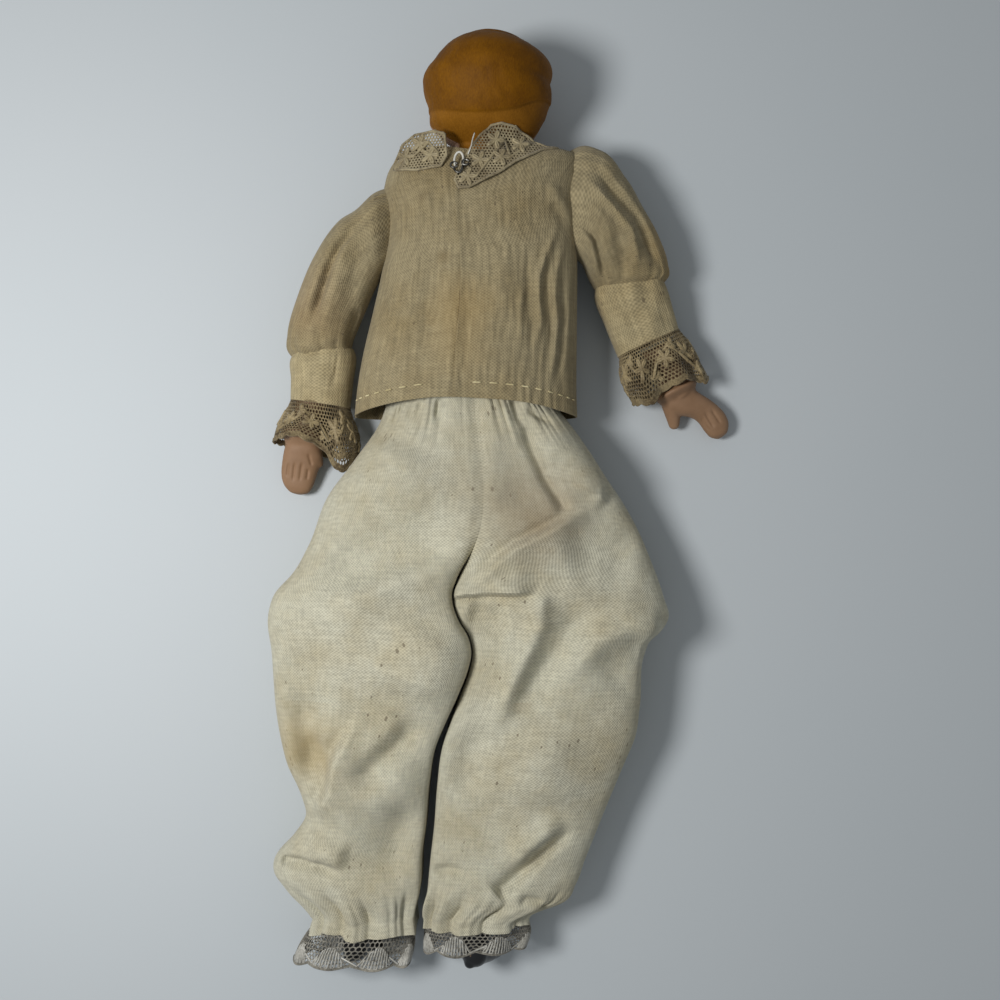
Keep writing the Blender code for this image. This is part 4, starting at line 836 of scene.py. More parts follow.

# The sleeves: full tubes of the same gauze, gathered into the armholes and again into the cuffs.  They
# are pressed flat by lying, in long folds, with yellow-brown painted shade on the thin outer fold of the
# right one.
SLEEVES = {             # how far along, outer edge, inner edge, middle height, half height
    "left": [(0.00, -15.2, 26.4, -16.0, 9.6, 11.1, 4.6), (0.09, -19.6, 24.6, -18.0, 7.2, 11.1, 7.2),
             (0.18, -23.4, 21.2, -18.9, 5.7, 10.9, 7.4), (0.30, -27.2, 18.8, -19.9, 4.0, 10.6, 7.5),
             (0.50, -32.6, 11.4, -21.6, 0.2, 10.0, 7.2), (0.70, -36.6, 2.4, -23.4, -3.8, 9.2, 6.9),
             (0.88, -38.8, -5.4, -24.8, -7.2, 8.5, 6.4), (0.96, -38.9, -8.8, -24.9, -8.4, 8.1, 5.9),
             (1.00, -37.9, -10.3, -24.4, -8.9, 7.9, 5.4)],
    "right": [(0.00, 20.4, 32.6, 21.2, 12.6, 11.1, 4.6), (0.06, 24.6, 34.8, 23.2, 11.2, 11.1, 6.6),
              (0.13, 28.8, 33.8, 24.4, 10.2, 11.1, 7.3), (0.30, 34.2, 28.2, 25.4, 8.9, 10.6, 7.5),
              (0.50, 38.3, 21.4, 26.0, 7.6, 10.2, 7.3), (0.70, 41.6, 15.6, 26.6, 6.4, 9.6, 6.9),
              (0.88, 43.7, 9.8, 27.3, 5.4, 9.0, 6.4), (0.96, 43.9, 7.2, 27.6, 4.9, 8.7, 5.9),
              (1.00, 42.9, 6.0, 27.9, 4.5, 8.5, 5.4)],
}
SLEEVE_FOLDS = {        # path on the table, half width, height
    "left": [([(-21.8, 17.7), (-26.4, 12.2), (-28.5, 8.1), (-31.4, -0.1), (-33.6, -5.0)], 0.9, -1.95),
             ([(-23.7, 18.3), (-29.2, 11.6), (-32.5, 3.8), (-35.0, -4.5)], 2.2, 1.2),
             ([(-23.7, 14.3), (-26.2, 8.0), (-28.7, -0.3), (-30.0, -6.6)], 2.0, 1.05),
             ([(-21.6, 12.2), (-23.7, 4.9), (-25.6, -2.4)], 1.6, -0.75),
             ([(-22.4, 0.7), (-24.1, -3.9), (-25.4, -8.7)], 0.9, -1.95),
             ([(-34.6, -8.7), (-32.1, -10.2), (-28.3, -10.0)], 1.2, -0.6)],
    "right": [([(23.3, 28.4), (27.8, 23.5), (32.0, 18.9), (35.0, 15.6), (36.2, 10.6), (35.3, 4.5)], 0.9, 1.2),
              ([(25.7, 30.9), (32.0, 23.1), (36.2, 18.9), (40.3, 9.8), (40.8, 5.7)], 1.2, -2.1),
              ([(28.2, 28.8), (34.5, 22.1), (38.7, 15.8), (41.4, 8.7)], 1.5, 0.75),
              ([(22.9, 16.4), (26.2, 13.1), (27.8, 7.4), (27.4, 4.9)], 1.2, 1.5),
              ([(24.1, 17.3), (27.4, 13.7), (29.3, 7.4), (29.7, 4.5)], 0.9, -1.5),
              ([(30.8, 16.4), (33.5, 11.6), (33.7, 4.9)], 1.4, -0.9),
              ([(24.1, 21.6), (28.2, 17.0), (31.2, 11.2)], 2.4, 0.75)],
}
SLEEVE_SPLIT = 0.52
SLEEVE_ROUND = 42.0     # round the sleeve, for its pleats and its weave
SLEEVE_LONG = 18.0
SLEEVE_PLEAT = 3.1
SLEEVE_SEED = {"left": 41, "right": 42}
# Two patches of yellow-brown painted shade on the thin outer fold of the right sleeve, and a faint brown
# stain on the left sleeve.
SLEEVE_DIRT_AND_SHADE = [((42.0, 16.0, 9.0), 5.5, 0.65, "#A07C3C"), ((44.0, 9.0, 8.0), 4.0, 0.65, "#A07C3C"),
               ((-33.0, 2.0, 14.0), 8.0, 0.25, "#A07F5C")]


def gathers(s, pitch, seed):
    """Uneven pleats along s: round ridges with sharp valleys between, from 0 to 1."""
    chance = np.random.default_rng(seed)
    drift = sum(np.sin(s / pitch * chance.uniform(0.5, 1.9) + chance.uniform(0.0, 6.3)) for _ in range(3))
    return np.abs(np.sin(math.pi * (s / pitch + 0.28 * drift)))


def sleeve(side):
    """One sleeve from the armhole to the cuff, with its gathers and folds."""
    shape = tube(SLEEVES[side], power=2.25)

    def place(u, v):
        x, y, z, lift = shape(u, v)
        pleat = gathers(u * SLEEVE_ROUND, SLEEVE_PLEAT, SLEEVE_SEED[side]) - 0.5
        ends = (0.30 * (1.0 - ease(0.02, 0.24, v)) * ease(0.0, 0.04, v)
                + 0.50 * ease(0.80, 0.97, v) * (1.0 - 0.6 * ease(0.97, 1.0, v)))
        z = z + blunted(lift, 0.5) * pleat * ends
        folds = sum(stroke(x, y, *fold) for fold in SLEEVE_FOLDS[side])
        z = z + np.clip(lift, 0.0, 1.0) ** 0.7 * (folds + 0.25 * ripple(x, y, 7.0, 43))
        return x, y, np.maximum(z, 0.3)

    return place


for side, arm in ARMS.items():
    whole = sleeve(side)
    top = lay("sleeve_top_" + side, 130, 66, lambda u, v: whole(u, v * SLEEVE_SPLIT))
    end = lay("sleeve_end_" + side, 130, 66, lambda u, v: whole(u, SLEEVE_SPLIT + v * (1.0 - SLEEVE_SPLIT)))
    for piece in (top, end):
        thicken(piece, GAUZE_WALL)
        finish = gauze("gauze " + piece.name, SLEEVE_ROUND, SLEEVE_LONG, SLEEVE_DIRT_AND_SHADE)
        dress(piece, finish, "gauze", "sleeve_" + side)
    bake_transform(top)
    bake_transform(end)

# The cuffs: straight bands of gauze folded double, which the sleeve is gathered into, with a stitched
# line round the top and a small slit closed up the left one.
CUFFS = {
    "left": [(0.0, -37.7, -9.6, -24.6, -8.4, 7.9, 5.3), (0.10, -38.2, -10.6, -24.2, -9.6, 7.8, 5.6),
             (0.5, -38.3, -14.8, -24.8, -15.0, 7.0, 5.5), (1.0, -38.5, -19.3, -25.6, -21.2, 6.2, 5.3)],
    "right": [(0.0, 42.8, 6.3, 28.0, 4.7, 8.5, 5.3), (0.10, 43.4, 5.0, 27.9, 3.2, 8.3, 5.6),
              (0.5, 44.9, 0.7, 30.2, -2.9, 7.2, 5.5), (1.0, 46.4, -3.9, 33.2, -9.9, 6.2, 5.2)],
}
CUFF_SLIT = [(-27.0, -8.9), (-29.0, -17.4)]
SLIT_HALF, SLIT_DEEP = 0.35, -0.5
CUFF_WALL = 0.5
CUFF_STITCH = 0.07      # share of the cuff's height above the stitched line
for side, stations in CUFFS.items():
    band = tube(stations, power=2.5)

    def cuff_shape(u, v):
        x, y, z, lift = band(u, v)
        z = z + (0.35 * ripple(x, y, 5.0, 51) - 0.22 * np.exp(-((v - CUFF_STITCH) / 0.02) ** 2)) * lift
        z = z + stroke(x, y, CUFF_SLIT, SLIT_HALF, SLIT_DEEP) * np.clip(lift, 0.0, 1.0)
        return x, y, np.maximum(z, 0.3)

    cuff = lay("cuff_band_" + side, 120, 50, cuff_shape)
    thicken(cuff, CUFF_WALL)
    finish = gauze("gauze of the cuff " + side, 40.0, 11.0, [], "#AC9E7B", "#9D8C67")
    dress(cuff, finish, "gauze", "cuff_" + side)
    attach(cuff, "forearm_" + side)

# The cuff frills: strips of cotton net lace, gathered on to the cuffs.  The net is knotted in six-sided
# meshes, with flowers worked on it in a thick bright floss and a cord along each edge.
ROW = math.sqrt(3.0) / 2    # height of a row of meshes that are 1 across
NET_WALL = 0.16
FRILL_NET = (76, 16, 0.80, 0.25)    # columns, rows, size across a mesh, thread
FRILL_EDGES = (0.09, (-0.02, 0.97), 241, 0.26)  # closed share, places of the cords, their points and radius
FRILL_FLOWERS = 10
FRILL_FLOSS = 0.34
FRILL_SCALLOP = 0.45
FRILLS = {              # the tube it hangs in, how far its edge rises, and how far it stands up, round it
    "left": ([(0.0, -38.2, -18.8, -25.8, -20.6, 6.2, 5.0), (0.25, -39.6, -21.6, -24.8, -24.0, 5.9, 5.3),
              (0.65, -41.6, -25.2, -23.6, -29.4, 5.4, 5.2), (1.0, -42.6, -28.2, -23.8, -33.4, 5.0, 4.7)],
             [(0.0, 0.0), (0.1, 1.2), (0.2, 2.9), (0.25, 2.2), (0.29, 1.2), (0.32, -1.0), (0.35, -2.2),
              (0.41, -0.3), (0.5, 1.4), (0.75, 0.0), (1.0, 0.0)],
             [(0.0, 0.0), (0.1, 0.6), (0.17, 1.1), (0.23, 0.2), (0.27, -1.6), (0.3, -0.6), (0.35, 1.3),
              (0.42, 0.3), (0.5, 0.0), (1.0, 0.0)]),
    "right": ([(0.0, 46.2, -3.6, 33.5, -9.6, 6.2, 5.0), (0.25, 48.2, -6.0, 33.6, -12.2, 5.9, 5.3),
               (0.65, 51.0, -10.4, 34.6, -16.4, 5.4, 5.2), (1.0, 53.0, -13.8, 36.6, -19.8, 5.0, 4.7)],
              [(0.0, 0.0), (0.08, -1.2), (0.13, -0.3), (0.2, 1.0), (0.24, 0.7), (0.3, 0.0), (0.335, -1.6),
               (0.39, -0.9), (0.5, 0.0), (0.75, 0.0), (1.0, 0.0)],
              [(0.0, 0.0), (0.07, 0.9), (0.13, -0.5), (0.2, 0.9), (0.27, -0.9), (0.34, 1.2), (0.42, -0.4),
               (0.5, 0.0), (1.0, 0.0)]),
}


def net(name, columns, rows, mesh, thread, filled, place, kept=None):
    """Net of six-sided meshes; filled(x, y) says which are closed, kept(x, y) which stay in the cut,
    and place(u, v) lays it out."""
    bpy.ops.object.select_all(action="DESELECT")
    bpy.ops.mesh.primitive_circle_add(vertices=6, radius=mesh / math.sqrt(3.0) * MM, fill_type="NGON")
    piece = bpy.context.object
    piece.name = piece.data.name = name
    tall = mesh * ROW
    for count, across, along in ((columns, mesh, 0.0), (2, mesh / 2, tall), (rows // 2, 0.0, 2 * tall)):
        apply(piece, "ARRAY", count=count, use_relative_offset=False, use_constant_offset=True,
              constant_offset_displace=(across * MM, along * MM, 0.0))
    bpy.ops.object.mode_set(mode="EDIT")
    bpy.ops.mesh.select_all(action="SELECT")
    bpy.ops.mesh.remove_doubles(threshold=mesh * 0.05 * MM)
    bpy.ops.mesh.select_mode(type="FACE")
    if kept:
        bpy.ops.object.mode_set(mode="OBJECT")
        for face in piece.data.polygons:
            face.select = not kept(face.center.x / MM, face.center.y / MM)
        bpy.ops.object.mode_set(mode="EDIT")
        bpy.ops.mesh.delete(type="FACE")
        bpy.ops.mesh.select_all(action="SELECT")
    bpy.ops.mesh.inset(thickness=thread / 2 * MM, use_individual=True)
    bpy.ops.object.mode_set(mode="OBJECT")
    for face in piece.data.polygons:
        face.select = face.select and not filled(face.center.x / MM, face.center.y / MM)
    bpy.ops.object.mode_set(mode="EDIT")
    bpy.ops.mesh.delete(type="FACE")
    bpy.ops.object.mode_set(mode="OBJECT")
    x, y = spots(piece)[:, :2].T
    put(piece, np.stack(place(x / (columns * mesh), y / ((rows - 1) * tall)), axis=1))
    bpy.ops.object.mode_set(mode="EDIT")
    bpy.ops.mesh.select_all(action="SELECT")
    bpy.ops.mesh.remove_doubles(threshold=mesh * 0.03 * MM)
    bpy.ops.object.mode_set(mode="OBJECT")
    thicken(piece, NET_WALL, 0.0)
    return piece


def corded(name, path, radius, sides=5):
    """Thin round thread along points in millimetres."""
    path = np.array(path, float)
    ahead = np.gradient(path, axis=0)
    ahead /= np.maximum(np.linalg.norm(ahead, axis=1)[:, None], 1e-6)
    across = np.cross(ahead, (0.13, 0.07, 1.0))
    across /= np.maximum(np.linalg.norm(across, axis=1)[:, None], 1e-6)
    up = np.cross(across, ahead)

    def place(u, v):
        k = np.rint(v * (len(path) - 1)).astype(int)
        turn = math.tau * u[:, None]
        shut = np.where((k == 0) | (k == len(path) - 1), 0.0, radius)[:, None]
        return (path[k] + (across[k] * np.cos(turn) + up[k] * np.sin(turn)) * shut).T

    return lay(name, sides, len(path) - 1, place)


def lace_thread(name, light, dark, roughness):
    """Twisted cotton: slightly uneven, darker in a fine mottle; floss is smoother."""
    made, tree, shader, spot = surface(name, {"Roughness": roughness, "Sheen Weight": 0.15})
    twist = node(tree, "TexNoise", {"Vector": spot, "Scale": 2400.0, "Detail": 2.0})
    cloud = node(tree, "TexNoise", {"Vector": spot, "Scale": 220.0, "Detail": 3.0})
    tone = node(tree, "Math", {0: twist, 1: 0.7, 2: cloud}, operation="MULTIPLY_ADD")
    shade = node(tree, "MapRange", {"Value": tone, "From Min": 0.62, "From Max": 1.05})
    base = node(tree, "Mix", {"Factor": shade, "A": dark, "B": light}, data_type="RGBA")
    bump = node(tree, "Bump", {"Height": twist, "Strength": 0.6, "Distance": 0.00008})
    feed(shader, {"Base Color": base, "Normal": bump})
    return made


def flower(x, y, reach, petals):
    """Points of a thread that loops out into petals round a middle."""
    turn = np.linspace(0.0, math.pi, petals * 9)
    out = reach * np.cos(petals * turn)
    return np.stack([x + out * np.cos(turn), y + out * np.sin(turn)], 1)


def trimmed(piece, threads, finish, bright):
    """Join threads to a net: the last of them is the bright floss."""
    for part in [piece] + threads:
        part.data.materials.append(finish)
    threads[-1].data.materials[0] = bright
    return joined(piece.name, [piece] + threads)


def net_size(fabric):
    """Width and length of a net laid flat, in millimetres."""
    columns, rows, mesh, _ = fabric
    return columns * mesh, (rows - 1) * mesh * ROW


def edged(name, fabric, edges, lies):
    """Net that lies(u, v) lays out, closed along its free edge, and the cords along both its edges."""
    closed, places, count, radius = edges
    long = net_size(fabric)[1]
    piece = net(name, *fabric, lambda x, y: y < long * closed, lies)
    along = np.linspace(0.0, 1.0, count)
    return piece, [corded("edge", np.stack(lies(along, np.full_like(along, at)), 1), radius) for at in places]


for side, (hangs, rises, stands) in FRILLS.items():
    ring = tube(hangs, power=2.1)
    wide, long = net_size(FRILL_NET)

    def frill_shape(u, v):
        w = 1.0 - v
        x, y, z, _ = ring(u, np.clip(w, 0.0, 1.0))
        z = z + profile(stands, np.mod(u, 1.0)) * ease(0.0, 0.7, w)
        y = y + profile(rises, np.mod(u, 1.0)) * ease(0.2, 1.0, w)
        y = y - FRILL_SCALLOP * np.abs(np.sin(math.tau * u * FRILL_FLOWERS)) * ease(0.7, 1.0, w)
        return x, y, np.maximum(z + 0.15 * ripple(x, y, 2.5, 55), 0.35)

    frill, threads = edged("cuff_frill_" + side, FRILL_NET, FRILL_EDGES, frill_shape)
    pitch = wide / FRILL_FLOWERS
    run = np.concatenate([np.concatenate([flower((k + 0.3) * pitch, long * 0.56, 2.0, 5),
                                          flower((k + 0.8) * pitch, long * (0.28 + 0.5 * (k % 2)), 1.2, 3)])
                          for k in range(FRILL_FLOWERS)])
    floss = np.stack(frill_shape(run[:, 0] / wide, run[:, 1] / long), 1)
    threads.append(corded("floss", floss, FRILL_FLOSS))
    frill = trimmed(frill, threads, lace_thread("ecru cotton lace " + side, "#958461", "#4C3D25", 0.9),
                    lace_thread("ecru cotton floss " + side, "#A5936C", "#6B5A3A", 0.6))
    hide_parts("cuff_lace_" + side)
    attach(frill, "forearm_" + side)
    flat = (wide * MM, long * MM)

# The collar: two pieces of a closer ecru net lace, sewn round the neck of the blouse and meeting at the
# opening.  The right piece stands up over the nape and comes to a point on the back.
COLLAR_MESH, COLLAR_THREAD = 0.66, 0.26
COLLAR_SPARE = 0.6      # how far the net goes past the outline before it is cut
COLLAR_LIFT, FLOSS_LIFT = 0.55, 0.15
COLLAR_CORD, COLLAR_FLOSS = 0.28, 0.30
PETAL, SOLID_REACH = 1.9, 1.3           # the reach of a flower's petals, and of the closed meshes round it
COLLARS = {             # outline, middles of the worked flowers, declared flat size, larger than the outline
    "left": ([(-15.2, 28.4), (-15.0, 30.4), (-13.3, 33.7), (-10.6, 35.4), (-6.2, 35.6), (-4.2, 34.9),
              (-3.8, 30.4), (-5.0, 28.2), (-10.0, 27.6)],
             [(-12.6, 31.0), (-9.4, 33.4), (-7.2, 30.6)], (0.0125, 0.0115)),
    "right": ([(1.3, 32.0), (3.2, 34.6), (5.5, 36.4), (7.7, 36.8), (10.6, 36.4), (13.5, 35.0), (15.3, 33.5),
               (17.2, 32.7), (19.5, 32.9), (16.1, 32.0), (14.2, 30.8), (10.5, 28.9), (6.9, 26.4), (3.2, 24.6),
               (0.9, 23.3), (-1.2, 23.2), (-2.0, 25.0), (-0.6, 29.0)],
              [(0.6, 25.6), (3.2, 29.2), (6.4, 33.6), (7.6, 29.8), (11.6, 33.0)], (0.023, 0.017)),
}


def back_height(x, y):
    """Height of what the collar lies on: the blouse, or the nape above it."""
    shift, tilt = leaning(y)
    sx = x - shift
    sy = y - tilt * sx
    cloth = lies_over(sx, np.clip(sy, -20.0, NECK_LINE), 1.0) - 1.3 * np.maximum(sy - NECK_LINE, 0.0)
    hx, t, _ = head_own(np.stack([x, y, np.zeros_like(x)], 1))
    t = np.clip(t, 0.0, HEAD_TALL)
    reach = profiles(HEAD_DEPTH, t)[1]
    nape = head_middle(t) + reach * np.sqrt(np.clip(1.0 - (hx / head_half(hx > 0, t)) ** 2, 0.0, 1.0))
    stiff = 20.3 - 0.024 * (x - 1.0) ** 2
    return np.maximum(np.maximum(cloth, stiff), np.where(t > 0.2, nape, 0.0))


def collar_lies(x, y):
    """Place of a spot of the collar, resting on what is under it."""
    return x, y, back_height(x, y) + COLLAR_LIFT + 0.22 * ripple(x, y, 4.0, 61)


def within(outline, x, y):
    """Whether a point lies inside a closed outline."""
    inside = False
    for (ax, ay), (bx, by) in zip(outline, outline[1:] + outline[:1]):
        if (ay > y) != (by > y) and x < (bx - ax) * (y - ay) / (by - ay) + ax:
            inside = not inside
    return inside


for side, (outline, flowers, flat) in COLLARS.items():
    low, high = np.min(outline, axis=0) - COLLAR_SPARE, np.max(outline, axis=0) + COLLAR_SPARE
    tall = COLLAR_MESH * ROW
    columns = int((high[0] - low[0]) / COLLAR_MESH) + 1
    rows = 2 * (int((high[1] - low[1]) / tall) // 2 + 1)
    reach = np.array([columns * COLLAR_MESH, (rows - 1) * tall])
    collar = net("collar_" + side, columns, rows, COLLAR_MESH, COLLAR_THREAD,
                 lambda x, y: any(math.hypot(low[0] + x - fx, low[1] + y - fy) < SOLID_REACH
                                  for fx, fy in flowers),
                 lambda u, v: collar_lies(low[0] + u * reach[0], low[1] + v * reach[1]),
                 lambda x, y: within(outline, low[0] + x, low[1] + y))
    ex, ey = spaced(outline + outline[:1], np.linspace(0.0, 1.0, len(outline) * 10 + 1))
    run = np.concatenate([flower(fx, fy, PETAL, 5) for fx, fy in flowers])
    floss = np.stack(collar_lies(run[:, 0], run[:, 1]), 1) + (0.0, 0.0, FLOSS_LIFT)
    threads = [corded("edge", np.stack(collar_lies(ex, ey), 1), COLLAR_CORD),
               corded("floss", floss, COLLAR_FLOSS)]
    finish = lace_thread("ecru cotton lace of the collar " + side, "#A39676", "#665840", 0.9)
    bright = lace_thread("ecru cotton floss of the collar " + side, "#A99B78", "#7C6E50", 0.6)
    collar = trimmed(collar, threads, finish, bright)
    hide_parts("collar_lace_" + side)
    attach(collar, "torso")

# The closing: a hook bent from tarnished wire, with two eyes that it is sewn on by, and a loop of white
# cotton for it to catch.  The hem is run round in single cream stitches.
HOOK_EYES = [(-2.2, 28.0), (0.2, 28.5)]
HOOK_BILL = [(-2.3, 27.4), (-1.8, 26.5), (-1.1, 26.2), (-0.6, 26.8), (-0.3, 27.9)]
LOOP = [(-2.0, 27.6), (-2.1, 29.4), (-1.6, 30.6), (-0.8, 30.7), (-0.3, 29.6), (-0.5, 27.7)]
LOOSE_END = [(0.6, 30.2), (1.3, 32.0), (1.6, 33.4), (2.1, 35.0)]
EYE_LIFT, BILL_LIFT, LOOP_LIFT, LOOSE_LIFT = 1.25, 1.45, 1.15, 0.85     # over what the collar lies on
EYE_WIRE, BILL_WIRE, LOOP_THREAD, LOOSE_THREAD = 0.25, 0.27, 0.24, 0.16     # radius
STITCH, STITCH_EVERY, STITCH_LIFT, STITCH_THREAD = 1.6, 2.7, 0.16, 0.17


def over_back(path, lift):
    """Points of a thread that lies on the collar or the nape."""
    x, y = np.array(path, float).T
    return np.stack([x, y, back_height(x, y) + lift], 1)


def smooth_path(path, count):
    """The same path with more points, rounded."""
    stations = [(k, *point) for k, point in enumerate(path)]
    return np.stack(profiles(stations, np.linspace(0.0, len(path) - 1.0, count)), 1)


def tarnished_wire():
    """Silvered brass wire, drawn and dulled: a grey metal, darker in patches."""
    made, tree, shader, spot = surface("tarnished silvered wire", {"Metallic": 1.0})
    patch = node(tree, "TexNoise", {"Vector": spot, "Scale": 900.0, "Detail": 3.0})
    shade = node(tree, "MapRange", {"Value": patch, "From Min": 0.40, "From Max": 0.65})
    base = node(tree, "Mix", {"Factor": shade, "A": "#8F8D86", "B": "#37332E"}, data_type="RGBA")
    gloss = node(tree, "MapRange", {"Value": patch, "To Min": 0.25, "To Max": 0.55})
    feed(shader, {"Base Color": base, "Roughness": gloss})
    return made


turn = np.linspace(0.0, math.tau, 19)
wires = []
for x, y in HOOK_EYES:
    eye = np.stack([x + 0.7 * np.cos(turn), y + 0.6 * np.sin(turn)], 1)
    wires.append(corded("eye", over_back(eye, EYE_LIFT), EYE_WIRE, 6))
wires.append(corded("bill", over_back(smooth_path(HOOK_BILL, 25), BILL_LIFT), BILL_WIRE, 6))
hook = joined("wire_hook", wires)
dress(hook, tarnished_wire(), "hook_wire", "closure_hook")
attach(hook, "torso")
loop = joined("thread_loop", [
    corded("loop", over_back(smooth_path(LOOP, 25), LOOP_LIFT), LOOP_THREAD, 6),
    corded("loose_end", over_back(smooth_path(LOOSE_END, 17), LOOSE_LIFT), LOOSE_THREAD)])
dress(loop, lace_thread("white cotton thread", "#D9D6CC", "#A5A193", 0.7), "thread", "closure_loop")
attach(loop, "torso")

stitches = []
for name in ("blouse_back_left", "blouse_back_right"):
    low, high, back, *_, flat = PANELS[name]
    wide = flat[0] / MM
    lies = panel(low, high, back)
    for k in range(1, int(wide / STITCH_EVERY) - 1):
        u = (k * STITCH_EVERY + np.linspace(0.0, STITCH, 6)) / wide
        along = np.stack(lies(u, np.full_like(u, HEM_FOLD)), 1)
        stitches.append(corded("stitch", along + (0.0, 0.0, STITCH_LIFT), STITCH_THREAD))
stitched = joined("hem_stitches", stitches)
stitched.data.materials.append(lace_thread("cream cotton thread", "#D8CBA0", "#B09F70", 0.75))
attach(stitched, "torso")

